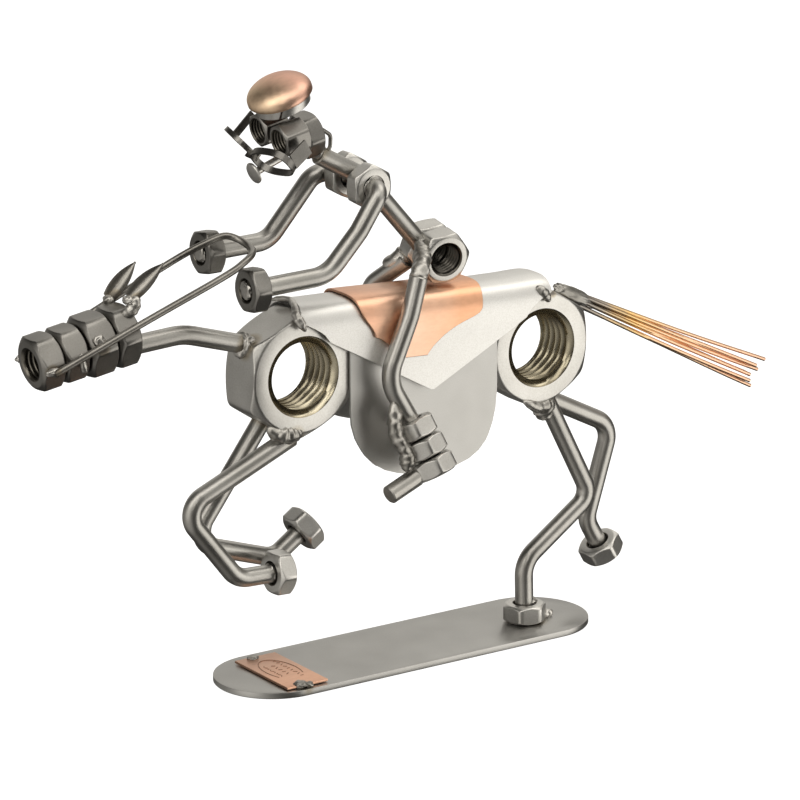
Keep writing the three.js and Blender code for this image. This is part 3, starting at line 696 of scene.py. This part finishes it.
def hex_block(size, matrix, grow=0.02):
    """The space inside a nut's flats, for cutting a bar off flush with the nut."""
    half = size["height"] / 2 + grow
    corner = (size["flats"] / 2 + grow) / math.cos(math.pi / 6)
    prism = circle(corner, -half, 6) + circle(corner, half, 6), closed_rings(2, 6)
    block = bpy.data.objects.new("cutter", mesh_of("cutter", moved(prism, matrix)))
    bpy.context.scene.collection.objects.link(block)
    return block


def cut_off(obj, nuts):
    """Cuts obj off flush with the outside of each nut."""
    for size, matrix in nuts:
        block = hex_block(size, matrix)
        modifier = obj.modifiers.new("cut", "BOOLEAN")
        modifier.operation = "DIFFERENCE"
        modifier.object = block
        modifier.solver = "EXACT"
        settle(obj)
        bpy.data.objects.remove(block)


def bar(name, corners, nuts=()):
    cut_off(dress(name, tube(*bent_line(corners), BAR_RADIUS, 28), BAR_STEEL), nuts)


BAR_RADIUS = 3.0
FOOT = 12.4

# The horse's legs and the rider's arms: corners with their bend radii, and the nut a leg is on
LEGS = {
    "near_fore_leg": ([(-45.3, -5, 80.1), (-85.6, -5, 63.1, 6.3), (-65.9, -5, 37.5, 8), (-47.8, -5, 36.8)],
                      CHEST),
    "far_fore_leg": ([(-47.4, 5.9, 86), (-76, 5.9, 48, 6.5), (-45.6, 5.9, 37.9, 7), (-32.5, 5.9, 46.8)],
                     CHEST),
    "near_hind_leg": ([(50.9, -3.8, 80), (71.2, -3.6, 40.75, 6.2), (44.6, -3.6, 22.4, 9), (45, -3.6, 2.3)],
                      HAUNCH),
    "far_hind_leg": ([(54, 4.4, 76.2), (85.4, 4.4, 60.2, 7.4), (75.6, 4.4, 29.3, 7), (82.6, 4.4, 17)],
                     HAUNCH),
}
ARMS = {
    "near_arm": [(-16.9, -6.2, 156.2), (-16.9, -13.2, 156.4, 4), (-25.2, -13.2, 144.4, 14),
                 (-37, -13.2, 132.2, 12), (-64.6, -13.2, 131.5)],
    "far_arm": [(-16.9, 6.2, 157.6), (-16.9, 13.2, 158.2, 4), (-25.2, 13.2, 157, 7),
                (-41.8, 13.2, 138.5, 9), (-65, 13.2, 138)],
}


def build_bars():
    for name, (corners, matrix) in LEGS.items():
        bar(name, corners, [(M24, matrix)])
    back = head_spot(34.5)
    neck = [(back.x - 1, 0, back.z - 4.9), (-81, 0, 117.4, 22), (-58.5, 0, 110.6)]
    bar("neck", neck, [(M24, CHEST), (POLL, POLL_PLACE)])
    bar("torso", [(7.5, 0, 132.2), (-14.6, 0, 157.6, 7), (-31.5, 0, 167)], HIPS + [NAPE_NUT])
    for name, corners in ARMS.items():
        bar(name, corners)
    for side, boot in BOOTS.items():
        stack = boot_nuts(side)
        ankle = Vector(boot["top"]) - Vector(boot["way"]).normalized() * 0.6
        bar(f"{side}_leg", boot["route"] + [tuple(ankle)], HIPS + [(M8, stack[0])])
        toes = Vector((-0.93, math.copysign(0.08, boot["top"][1]), -0.33)).normalized()
        heel = Vector(boot["heel"]) + toes * 1.8
        bar(f"{side}_foot", [tuple(heel), tuple(heel + toes * FOOT)], [(M8, stack[2])])
    build_nail()


def lathe(profile, around):
    """A body turned about Z from (radius, height) pairs, closed by a face at each end."""
    verts = [spot for radius, level in profile for spot in circle(radius, level, around)]
    return verts, closed_rings(len(profile), around)


def build_nail():
    """The nose: a nail whose round, slightly domed head faces forwards."""
    profile = [(2.4, 0.0), (3.2, 0.16), (3.5, 0.5), (3.4, 0.95), (2.2, 1.3), (1.35, 1.7), (1.2, 2.2),
               (1.2, 12.0)]
    matrix = stand((-55.3, 0, 163.9), (0.93, 0, 0.34), (0, 1, 0))
    dress("nose_nail", moved(lathe(profile, 32), matrix), NUT_STEEL)


# ---- sheets ----


def lookup(table, key):
    """The value at key, read between the rows of a table of (key, value)."""
    if key <= table[0][0]:
        return table[0][1]
    for (k0, v0), (k1, v1) in zip(table, table[1:]):
        if key <= k1:
            return v0 + (v1 - v0) * (key - k0) / (k1 - k0)
    return table[-1][1]


def slab(grid):
    """A closed solid between two grids of points: grid[i][j] is (outer point, inner point)."""
    rows = len(grid)
    cols = len(grid[0])
    verts = [pair[side] for side in (0, 1) for row in grid for pair in row]

    def spot(side, i, j):
        return side * rows * cols + i * cols + j

    faces = []
    for i in range(rows - 1):
        for j in range(cols - 1):
            for side in (0, 1):
                faces.append((spot(side, i, j), spot(side, i, j + 1), spot(side, i + 1, j + 1),
                              spot(side, i + 1, j)))
    border = [(0, j) for j in range(cols - 1)] + [(i, cols - 1) for i in range(rows - 1)]
    border += [(rows - 1, cols - 1 - j) for j in range(cols - 1)]
    border += [(rows - 1 - i, 0) for i in range(rows - 1)]
    for a, b in zip(border, border[1:] + border[:1]):
        faces.append((spot(0, *a), spot(0, *b), spot(1, *b), spot(1, *a)))
    return verts, faces


def shoulder_spot(half, shoulder, turn):
    """A spot on the rounded shoulder of a folded sheet: how far out and how far down it lies."""
    power = 2 / 3.2
    return half * math.sin(turn) ** power, shoulder * (1 - math.cos(turn) ** power)


def fold_section(half, shoulder, hem, flare):
    """A folded sheet's section: from -1 to 1 around it, how far sideways and how far down."""
    def section(around):
        side = math.copysign(1, around)
        share = abs(around)
        if share < 0.5:
            out, drop = shoulder_spot(half, shoulder, share * math.pi)
            return side * out, drop
        down = (share - 0.5) / 0.5
        return side * (half + flare * down), shoulder + (hem - shoulder) * down
    return section


def folded_sheet(spine, section, front, rear, thick, cols, shares):
    """A sheet folded over a spine; front and rear give its edges' x for each share of the way down."""
    grid = []
    step = 0.004
    for around in [-s for s in reversed(shares[1:])] + shares:
        share = abs(around)
        row = []
        y, drop = section(around)
        y0, d0 = section(max(-1, around - step))
        y1, d1 = section(min(1, around + step))
        length = math.hypot(y1 - y0, d1 - d0)
        ny = (d1 - d0) / length
        nz = (y1 - y0) / length
        first = lookup(front, share)
        for j in range(cols + 1):
            x = first + (lookup(rear, share) - first) * j / cols
            z = lookup(spine, x) - drop
            row.append((Vector((x, y, z)), Vector((x, y - ny * thick, z - nz * thick))))
        grid.append(row)
    return slab(grid)


# The saddle's ridge line (x, z); the copper sheet lies on it
SPINE = [(-45, 122.4), (-37, 122.0), (-23, 121.5), (0, 120.3), (24, 119.3), (39, 118.9), (48, 118.9),
         (52, 118), (56, 115.6)]


def eased_edges(obj, width):
    """Rounds the cut edges of a sheet a little, as a file leaves them."""
    modifier = obj.modifiers.new("ease", "BEVEL")
    modifier.width = width * MM
    modifier.segments = 2
    modifier.limit_method = "ANGLE"
    modifier.angle_limit = math.radians(50)
    settle(obj)


SADDLE_THICK = 0.9
COPPER_THICK = 0.8


def build_saddle():
    shares = [k / 40 for k in range(41)]
    front = [(0, -41.5), (0.2, -43.5), (0.36, -44.6), (1, 1.8)]
    rear = [(0, 50.5), (0.36, 50.5), (1, 3.0)]
    section = fold_section(11, 12, 30.6, 1.9)
    shape = folded_sheet(SPINE, section, front, rear, SADDLE_THICK, 48, shares)
    eased_edges(dress("saddle_sheet", shape, SATIN_STEEL, 50), 0.2)


def rounded_table(table, reach):
    """The table read every 1/160 and averaged over a short reach, so its outline has no corners."""
    smooth = []
    for k in range(161):
        key = k / 160
        near = min(reach, key, 1 - key)
        around = [lookup(table, key + near * step / 4) for step in range(-4, 5)]
        smooth.append((key, sum(around) / 9))
    return smooth


def near_average(table, key, reach=0.9):
    """The table's mean over a short reach around key."""
    return sum(lookup(table, key + reach * step / 3) for step in range(-3, 4)) / 7


# The copper sheet's edges: its front by the share of the way down, its rear by the drop
COPPER_FRONT = [(0, -24.5), (0.28, -23.2), (0.39, -22.5), (0.465, -20.2), (0.53, -16.8),
                (0.7, -13.4), (1, -9)]
COPPER_REAR = [(0, 24.4), (2, 23.4), (4, 23.0), (6.2, 22.6), (8, 22.3), (9.4, 20.8), (10.7, 16.8),
               (11.8, 13.3), (14.6, 7.5), (17.5, 3.2), (20.4, 0.2)]


def build_copper_sheet():
    spine = [(x, z + GAP + COPPER_THICK) for x, z in SPINE]
    section = fold_section(12.2, 13, 20.4, 0.9)
    top = [k / 80 for k in range(37)]
    shoulder = [0.45 + k / 400 for k in range(1, 20)]
    shares = top + shoulder + [k / 80 for k in range(40, 81)]
    front = rounded_table(COPPER_FRONT, 0.045)
    rear = [(share, near_average(COPPER_REAR, section(share)[1])) for share in shares]
    shape = folded_sheet(spine, section, front, rear, COPPER_THICK, 32, shares)
    eased_edges(dress("copper_sheet", shape, COPPER_SHEET, 50), 0.18)


# The body sheet's flaps on the near and the far side: how far down, the front edge, the rear edge
FLAP_NEAR = [(0, -26.4, 29.5), (33, -26.4, 29.5), (39, -26, 28.9), (44, -24.4, 27.7), (49, -21.3, 25.6),
             (52.5, -17.6, 22.4), (55, -13.2, 18.4), (56.6, -8, 13.4), (57.4, -2, 7.4)]
FLAP_FAR = [(0, -26.4, 29.5), (28, -26.4, 29.5), (34, -25.6, 28.6), (38, -23.4, 26.4), (40.6, -20, 22.6),
            (42, -15, 17.4)]


def flap_row(side, flap, y, drop, out, up):
    """One row of points across a flap; out and up say which way the sheet's outer face looks."""
    cols = 24
    front = lookup([(d, a) for d, a, _ in flap], drop)
    rear = lookup([(d, b) for d, _, b in flap], drop)
    row = []
    for j in range(cols + 1):
        x = front + (rear - front) * j / cols
        z = 119.1 - 0.047 * x - drop
        inner = Vector((x, side * (y - SADDLE_THICK * out), z - SADDLE_THICK * up))
        row.append((Vector((x, side * y, z)), inner))
    return row


def flap_rows(side, flap):
    half = 9.7
    shoulder = 10
    rows = []
    for k in range(13):
        turn = math.radians(90 * k / 13)
        y, drop = shoulder_spot(half, shoulder, turn)
        rows.append(flap_row(side, flap, y, drop, math.sin(turn), math.cos(turn)))
    for k in range(1, 25):
        drop = shoulder + (flap[-1][0] - shoulder) * math.sin(math.pi / 2 * k / 24)
        rows.append(flap_row(side, flap, half, drop, 1, 0))
    return rows


def build_body_sheet():
    grid = flap_rows(-1, FLAP_NEAR)[::-1] + flap_rows(1, FLAP_FAR)[1:]
    eased_edges(dress("body_sheet", slab(grid), FLAP_STEEL, 50), 0.2)


# ---- base plate and label ----


def outline_plate(outline, low, high, ease):
    """A plate with eased edges from a closed outline of (x, y)."""
    count = len(outline)
    verts = []
    cx = sum(p[0] for p in outline) / count
    cy = sum(p[1] for p in outline) / count
    levels = [(low, ease), (low + ease, 0), (high - ease, 0), (high - 0.3 * ease, 0.3 * ease), (high, ease)]
    for level, inset in levels:
        for x, y in outline:
            shrink = 1 - inset / math.hypot(x - cx, y - cy)
            verts.append(Vector((cx + (x - cx) * shrink, cy + (y - cy) * shrink, level)))
    return verts, closed_rings(len(levels), count)


PLATE_THICK = 2
LABEL_MIDDLE = (-48, -1.5)
LABEL_TOP = 3.1


def build_base():
    """The base plate: two half circles joined by straight sides."""
    radius = 19.2
    outline = []
    for middle, first in ((49.8, -90), (-49.8, 90)):
        for k in range(64):
            a = math.radians(first + 180 * k / 63)
            outline.append((middle + radius * math.cos(a), radius * math.sin(a)))
    dress("base_plate", outline_plate(outline, 0, PLATE_THICK, 0.25), BASE_STEEL)


def build_label():
    corners = ((-7.5, -15.5), (7.5, -15.5), (7.5, 15.5), (-7.5, 15.5))
    outline = [(LABEL_MIDDLE[0] + x, LABEL_MIDDLE[1] + y) for x, y in corners]
    shape = outline_plate(outline, PLATE_THICK + GAP, LABEL_TOP, 0.12)
    dress("copper_label", shape, COPPER_LABEL)


def build_label_marks():
    """Shallow strokes on the label: an oval and rows of short marks that aren't letters."""
    oval = []
    for k in range(25):
        a = math.radians(-35 + 250 * k / 24)
        oval.append((-48 - 5.4 * math.cos(a), -1.4 + 10.4 * math.sin(a)))
    lines = [oval]
    rows = ((-45.2, 9, 2.0, 1.1), (-48.2, 5, 2.1, 1.2), (-51.0, 9, 1.3, 0.6))
    for row, (x, count, step, tall) in enumerate(rows):
        for k in range(count):
            y = -1.4 + step * (k - (count - 1) / 2)
            lean = 0.5 * math.sin(2.3 * k + row)
            lines.append([(x - tall / 2, y - lean), (x + tall / 2, y + lean)])
    strokes = []
    for line in lines:
        for (x0, y0), (x1, y1) in zip(line, line[1:]):
            way = Vector((x1 - x0, y1 - y0, 0))
            matrix = stand(((x0 + x1) / 2, (y0 + y1) / 2, LABEL_TOP + 0.01), way)
            strokes.append(moved(box((0.16, 0.30, way.length * 0.98)), matrix))
    name = "copper_label_marks"
    piece(name, mesh_of(name, joined(strokes)), COPPER_MARK)


# ---- head, cap, washer, ears ----


def build_cap():
    """A thin domed cap, open below: up over the inside, around the rim and down the outside."""
    turns = [math.radians(5 * k) for k in range(18)]
    outer = [(10.3 * math.cos(a), 1.2 + 5.4 * math.sin(a)) for a in turns]
    inner = [(9.3 * math.cos(a), 1.2 + 4.4 * math.sin(a)) for a in turns]
    rim = [(9.3, 0.25), (9.55, 0.0), (10.05, 0.0), (10.3, 0.3)]
    shape = lathe(inner[::-1] + rim + outer, 72)
    dress("copper_cap", moved(shape, CAP), COPPER_CAP, 50)


def build_washer():
    """The split ring under the cap: its two ends stand apart at a slant."""
    around = 90
    cut = math.radians(180 + 52)
    gap = 0.045
    section = [(5.3, -3.0), (5.5, -3.2), (8.4, -3.2), (8.7, -2.9), (8.7, -0.6), (8.4, -0.3), (5.6, -0.3),
               (5.3, -0.6)]
    verts = []
    for k in range(around + 1):
        for radius, level in section:
            slant = (level + 1.75) * math.tan(math.radians(28)) / 8
            a = cut + gap + slant + k / around * (2 * math.pi - 2 * gap)
            verts.append(Vector((radius * math.cos(a), radius * math.sin(a), level)))
    shape = verts, closed_rings(around + 1, len(section))
    dress("spring_washer", moved(shape, CAP), NUT_STEEL)


EARS = {
    "near_ear": ((-103, -6.2, 133.6), (-91.5, -7, 142.6)),
    "far_ear": ((-103.2, 6, 131), (-93.6, 6, 140.7)),
}


def ear_shape(length):
    """A thin leaf along X, hollow like a spoon and a little bent."""
    grid = []
    for i in range(13):
        across = -1 + i / 6
        row = []
        for j in range(21):
            along = j / 20
            width = max(0.25, 2.7 * (0.72 + 1.25 * along - 1.97 * along ** 2))
            x = along * length
            y = across * width
            z = -0.45 * width * (1 - across ** 2) - 2.2 * (along - 0.5) ** 2
            row.append((Vector((x, y, z + 0.45)), Vector((x, y, z - 0.45))))
        grid.append(row)
    return slab(grid)


def build_ears():
    for name, (foot, tip) in EARS.items():
        reach = Vector(tip) - Vector(foot)
        way = reach.normalized()
        z = Vector((-0.5, -0.73, 0.42))
        z = (z - way * z.dot(way)).normalized()
        matrix = placed(way, z.cross(way), z, foot)
        dress(name, moved(ear_shape(reach.length), matrix), DARK_STEEL, 50)


# ---- wires ----


def directions(spots):
    """The direction of a line at each of its spots."""
    before = spots[:1] + spots[:-1]
    after = spots[1:] + spots[-1:]
    return [(b - a).normalized() for a, b in zip(before, after)]


def smooth_route(points, per_span=8):
    """A uniform Catmull-Rom line through the points, with its directions."""
    points = [Vector(p) for p in points]
    padded = [points[0] * 2 - points[1]] + points + [points[-1] * 2 - points[-2]]
    spots = []
    for i in range(1, len(padded) - 2):
        a, b, c, d = padded[i - 1:i + 3]
        for k in range(per_span):
            t = k / per_span
            spots.append(0.5 * (2 * b + (c - a) * t + (2 * a - 5 * b + 4 * c - d) * t * t
                                + (3 * b - a - 3 * c + d) * t ** 3))
    spots.append(points[-1])
    return spots, directions(spots)


def build_reins():
    route = [(-131.6, -10.4, 114.9), (-100, -11.9, 127.2), (-74, -13, 137), (-66.5, -12.4, 140.2),
             (-61, -8.6, 141.6), (-58.4, -3, 142), (-59.4, 2, 143.6), (-63, 4.4, 144.7), (-69, 5.2, 143.2),
             (-78, 7, 139.4), (-96, 9, 131), (-131.6, 10.4, 115.2)]
    dress("reins", tube(*smooth_route(route), 1.1, 16, 0.15), DARK_STEEL)


# The tail's wires: sideways place, height at the root, height and sideways place at the tip
TAIL = [(-2, 1.6, 3.6, 2.4), (0, 1.9, 4.6, 0), (2, 1.6, 3.8, -2.6),
        (-2.2, 0.3, 1.2, 4), (-0.2, 0.5, 1.4, 1.2), (1.8, 0.3, 0.4, -1.6),
        (-1.6, -1.1, -2.2, 3), (0.4, -1.0, -3.4, 0.6), (1.9, -1.2, -1.2, -3)]


def tail_wire(number, side, rise, end_rise, end_side):
    start = Vector((68.5 + rise * 0.5, side * 0.7, 105.7 + rise * 1.05))
    end = Vector((144 - 2.2 * abs(side) + end_rise * 0.6, side * 0.7 + end_side, 69 + end_rise))
    spots = []
    for k in range(15):
        t = k / 14
        sway = 0.35 * math.sin(6.2 * t + number * 1.7) * t
        spots.append(start.lerp(end, t) + Vector((0, sway, 0.6 * sway - 1.2 * t * (1 - t))))
    return tube(spots, directions(spots), 0.68, 12, 0.15)


def build_tail():
    """Each wire of the tail on its own, slightly wavy, thinner than the weld that holds it."""
    wires = [tail_wire(number, *wire) for number, wire in enumerate(TAIL)]
    dress("tail", joined(wires), COPPER_TAIL)


def build_strap():
    corners = [(-31.4, -1.5, 175.4), (-27.7, -1.5, 172.9, 2), (-27.9, -1.5, 169.4, 2), (-30, -1.5, 165.6)]
    wire = tube(*bent_line(corners), 0.65, 12, 0.1)
    cut_off(dress("neck_strap", wire, DARK_STEEL), [NAPE_NUT])


# ---- spectacles ----

BROW = (-0.038, 0.984, 0.175)
STRIP = 0.7
# The lens rings: middle, the way they look, half the length and half the strip's depth
LENSES = [((-53.4, -9, 169.1), (-0.684, -0.2255, -0.69), 7.4, 1.1),
          ((-53.9, 8.6, 172.1), (-0.684, 0.2255, -0.69), 6.2, 0.8)]
# The temples: where each starts and ends, and its breadth
TEMPLES = [((-50.3, -15.2, 169.8), (-43.6, -13.2, 173.4), 5),
           ((-52.7, 13.4, 173.6), (-46.4, 13.4, 179.4), 2.4)]


def strip_loop(outline, half_depth, thick):
    """A closed loop of strip standing along local Z, from a flat outline of (x, y)."""
    count = len(outline)
    verts = []
    for level, inset in ((-half_depth, 0.0), (half_depth, 0.0), (half_depth, thick), (-half_depth, thick)):
        for x, y in outline:
            shrink = 1 - inset / math.hypot(x, y)
            verts.append(Vector((x * shrink, y * shrink, level)))
    faces = rings_to_faces(4, count)
    for k in range(count):
        faces.append((3 * count + k, 3 * count + (k + 1) % count, (k + 1) % count, k))
    return verts, faces


def lens_outline(long, short):
    points = []
    for i in range(64):
        a = 2 * math.pi * i / 64
        c, s = math.cos(a), math.sin(a)
        points.append((long * math.copysign(abs(c) ** 0.78, c), short * math.copysign(abs(s) ** 0.78, s)))
    return points


def box(sizes):
    hx, hy, hz = (s / 2 for s in sizes)
    verts = [Vector((x, y, z)) for x in (-hx, hx) for y in (-hy, hy) for z in (-hz, hz)]
    faces = [(0, 1, 3, 2), (4, 6, 7, 5), (0, 4, 5, 1), (2, 3, 7, 6), (0, 2, 6, 4), (1, 5, 7, 3)]
    return verts, faces


def build_glasses():
    parts = []
    for centre, normal, long, half in LENSES:
        ring = strip_loop(lens_outline(long, 5.7), half, 0.6)
        parts.append(moved(ring, stand(centre, normal, BROW)))
    for start, end, broad in TEMPLES:
        way = Vector(end) - Vector(start)
        middle = Vector(start) + way / 2
        parts.append(moved(box((broad, STRIP, way.length)), stand(middle, way, (-0.6, 0, 1))))
    parts.append(moved(box((5.4, STRIP, 2.4)), stand((-55, 0, 169.7), (-0.684, 0, -0.69), BROW)))
    dress("spectacles", joined(parts), DARK_AND_SHADED_STEEL, 50)


# ---- weld beads ----


def bead(name, seed, centre, radii, axis=(0, 0, 1), side=(1, 0, 0)):
    """A lump of weld metal: an ellipsoid broken up by low ripples."""
    sphere = bmesh.new()
    bmesh.ops.create_icosphere(sphere, subdivisions=4, radius=1)
    matrix = stand(centre, axis, side)
    offset = Vector((seed * 3.7, seed * 1.3, seed * 2.9))
    for vert in sphere.verts:
        way = vert.co.normalized()
        lump = noise.noise(way * 1.7 + offset) + 0.5 * noise.noise(way * 4.3 + offset)
        local = Vector((way.x * radii[0], way.y * radii[1], way.z * radii[2])) * (1 + 0.22 * lump)
        vert.co = (matrix @ local) * MM
    mesh = bpy.data.meshes.new(name)
    sphere.to_mesh(mesh)
    sphere.free()
    piece(name, mesh, WELD_METAL, smooth=80)


# Single beads of weld: middle, half sizes, and where they aren't upright the axis and the side
BEADS = {
    "weld_chest_neck": ((-59.8, 0.0, 111.0), (4.3, 4.2, 2.2), (1, 0, -0.3), (0, 0, 1)),
    "weld_chest_drop": ((-58.6, -3.6, 112.8), (1.2, 1.3, 1.0), (1, 0, 0), (0, 0, 1)),
    "weld_poll_neck": ((-99.5, 0, 116.8), (3.3, 3.4, 1.8), (1, 0, 0.1), (0, 0, 1)),
    "weld_cheek_eye": ((-116.0, -9.9, 122.8), (1.8, 1.8, 1.3), (0, -1, 0.2), (0, 0, 1)),
    "weld_near_ear": ((-103.4, -6.0, 132.6), (1.6, 2.2, 1.4)),
    "weld_far_ear": ((-103.6, 5.8, 130.4), (1.6, 2.0, 1.3)),
    "weld_near_rein": ((-131.2, -9.4, 115.2), (2.6, 1.4, 1.4), (0, 0, 1), (1, 0, 0.2)),
    "weld_far_rein": ((-131.2, 9.4, 115.4), (2.6, 1.4, 1.4), (0, 0, 1), (1, 0, 0.2)),
    "weld_near_fore_top": ((-46.2, -5.4, 81.2), (4.0, 2.6, 2.0), (0, 0, 1), (1, 0, 0.4)),
    "weld_far_fore_top": ((-48.5, 5.9, 83.9), (3.2, 2.6, 2.2), (0, 0, 1), (1, 0, 0.4)),
    "weld_near_hind_top": ((51.4, -4.2, 77.9), (3.6, 2.6, 2.4), (0, 0, 1), (1, 0, -0.4)),
    "weld_far_hind_top": ((56.4, 4.4, 75.4), (3.0, 2.6, 2.4), (0, 0, 1), (1, 0, -0.4)),
    "weld_near_hind_hoof": ((46.6, -3.6, 8.6), (3.0, 2.6, 1.2)),
    "weld_base_hoof": ((53.0, -4.2, 3.0), (2.8, 1.5, 1.6)),
    "weld_near_fore_hoof": ((-54.0, -5, 37.2), (1.0, 2.9, 2.9)),
    "weld_far_fore_hoof": ((-37.2, 5.9, 43.6), (1.1, 2.8, 2.8), (0, 0, 1), (1, 0, 0.6)),
    "weld_tail": ((66.6, 0, 107.6), (9.0, 2.5, 2.4), (0.485, 0, 0.875), (0.875, 0, -0.485)),
    "weld_torso_hip": ((6.4, -1.2, 133.8), (3.4, 3.4, 2.4), (0.6, 0, 0.8), (0, 1, 0)),
    "weld_near_shoulder": ((-16.9, -9.2, 156.3), (3.6, 3.6, 0.9), (0, 1, 0), (1, 0, 0)),
    "weld_far_shoulder": ((-16.9, 9.2, 157.8), (3.6, 3.6, 0.9), (0, 1, 0), (1, 0, 0)),
    "weld_nape": ((-32.4, -0.6, 168.6), (2.4, 3.2, 3.0), (1, 0, 0.6), (0, 1, 0)),
    "weld_near_hand": ((-66.4, -13.2, 131.5), (0.9, 2.8, 2.8)),
    "weld_far_hand": ((-66.4, 13.2, 138), (0.9, 2.8, 2.8)),
    "weld_label_near": ((-50.2, -16.2, 2.9), (2.3, 2.1, 1.3)),
    "weld_label_near_edge": ((-47.6, -17.0, 2.6), (1.6, 1.2, 1.0)),
    "weld_label_far": ((-49.4, 12.9, 2.9), (2.1, 1.7, 1.1)),
}


# Longer runs of weld: (x, y, z, radius) along each run
RUNS = {
    "weld_near_boot": [(-15.6, -17.6, 89.8, 1.2), (-15.8, -18.4, 85.4, 2.3), (-16.0, -19.2, 81.2, 2.3),
                       (-15.2, -20.4, 77.2, 2.4), (-13.9, -21.8, 73.6, 2.3), (-13.8, -22.8, 70.4, 2.3),
                       (-14.6, -23.2, 67.8, 2.0)],
    "weld_far_boot": [(2.6, 19.6, 82.6, 1.2), (4.2, 19.9, 77.5, 1.3), (6.4, 19.9, 72.0, 1.3),
                      (8.2, 19.8, 67.0, 1.0)],
    "weld_near_thigh": [(-4.9, -14.9, 125.6, 2.9), (-3.2, -13.8, 128.4, 3.0), (-0.6, -11.4, 130.0, 2.8),
                        (1.4, -8.8, 131.2, 2.5), (2.6, -6.2, 133.4, 2.3), (3.4, -3.4, 135.2, 1.8)],
    "weld_far_thigh": [(1.8, 12.8, 123.8, 2.4), (4.4, 9.4, 126.6, 3.1), (6.6, 7.2, 129.0, 2.6)],
    "weld_saddle_front": [(-43.4, -10.8, 114.8, 0.9), (-45.0, -10.5, 117.4, 1.4), (-45.4, -9.0, 119.6, 1.4),
                          (-44.6, -6.6, 121.4, 1.2), (-43.4, -3.6, 122.2, 1.0), (-42.2, 0.0, 122.5, 0.9),
                          (-43.4, 4.0, 122.2, 0.9), (-44.8, 7.4, 121.2, 0.8)],
    "weld_hind_fork": [(40.6, -8.6, 78.4, 1.0), (44.6, -8.0, 76.2, 1.7), (49.6, -6.6, 75.2, 2.6),
                       (53.6, -4.4, 76.0, 2.2), (56.2, -1.6, 77.6, 1.6)],
    "weld_hind_shin": [(49.8, -5.0, 77.0, 3.6), (51.6, -4.4, 73.6, 3.6), (53.2, -3.8, 70.2, 3.2)],
    "weld_fore_fork": [(-55.6, -7.2, 85.2, 1.3), (-52.6, -7.4, 83.0, 2.2), (-49.0, -7.4, 81.6, 2.8),
                       (-45.6, -7.4, 81.6, 2.2), (-43.2, -7.8, 82.6, 1.2)],
    "weld_saddle_rear": [(44.6, -9.6, 115.8, 1.0), (46.8, -9.9, 114.2, 1.6), (48.6, -9.9, 112.2, 1.4),
                         (49.8, -9.8, 110.4, 0.9)],
    "weld_nose_cheek": [(-121.6, -8.4, 119.4, 0.8), (-121.0, -8.8, 116.4, 1.1), (-120.4, -8.4, 113.2, 0.9)],
    "weld_ear_seam": [(-104.6, -4.2, 127.6, 1.4), (-102.8, -6.4, 129.2, 1.9), (-101.6, -6.8, 131.6, 1.9),
                      (-101.4, -6.2, 133.8, 1.3)],
}


def weld_run(name, points, seed):
    """A run of weld metal: a thick thread with rounded ends and the low ripples of each dab."""
    around = 18
    route, ways = smooth_route([point[:3] for point in points], 10)
    radii, _ = smooth_route([(point[3], 0, 0) for point in points], 10)
    count = len(route)
    verts = []
    side = Vector((0.3, -1, 0.2))
    for i, (spot, way) in enumerate(zip(route, ways)):
        side = (side - way * side.dot(way)).normalized()
        other = way.cross(side)
        taper = max(0.02, 1 - abs(2 * i / (count - 1) - 1) ** 8) ** 0.5
        dab = 1 + 0.05 * math.sin(i * 0.9 + seed)
        for k in range(around):
            a = 2 * math.pi * k / around
            out = side * math.cos(a) + other * math.sin(a)
            place = spot * 0.30 + out * 0.7 + Vector((seed, 0, 0))
            lump = 1 + 0.30 * noise.noise(place) + 0.06 * noise.noise(place * 3.1)
            verts.append(spot + out * (radii[i].x * taper * dab * lump))
    mesh = mesh_of(name, (verts, closed_rings(count, around)))
    piece(name, mesh, WELD_METAL, smooth=80)


def build_beads():
    for number, (name, lump) in enumerate(BEADS.items()):
        bead(name, number, *lump)
    for number, (name, points) in enumerate(RUNS.items()):
        weld_run(name, points, 1.7 * number)


build_camera()
build_light()
build_floor()
build_nuts()
build_bars()
build_saddle()
build_copper_sheet()
build_body_sheet()
build_base()
build_label()
build_label_marks()
build_cap()
build_washer()
build_ears()
build_reins()
build_tail()
build_strap()
build_glasses()
build_beads()

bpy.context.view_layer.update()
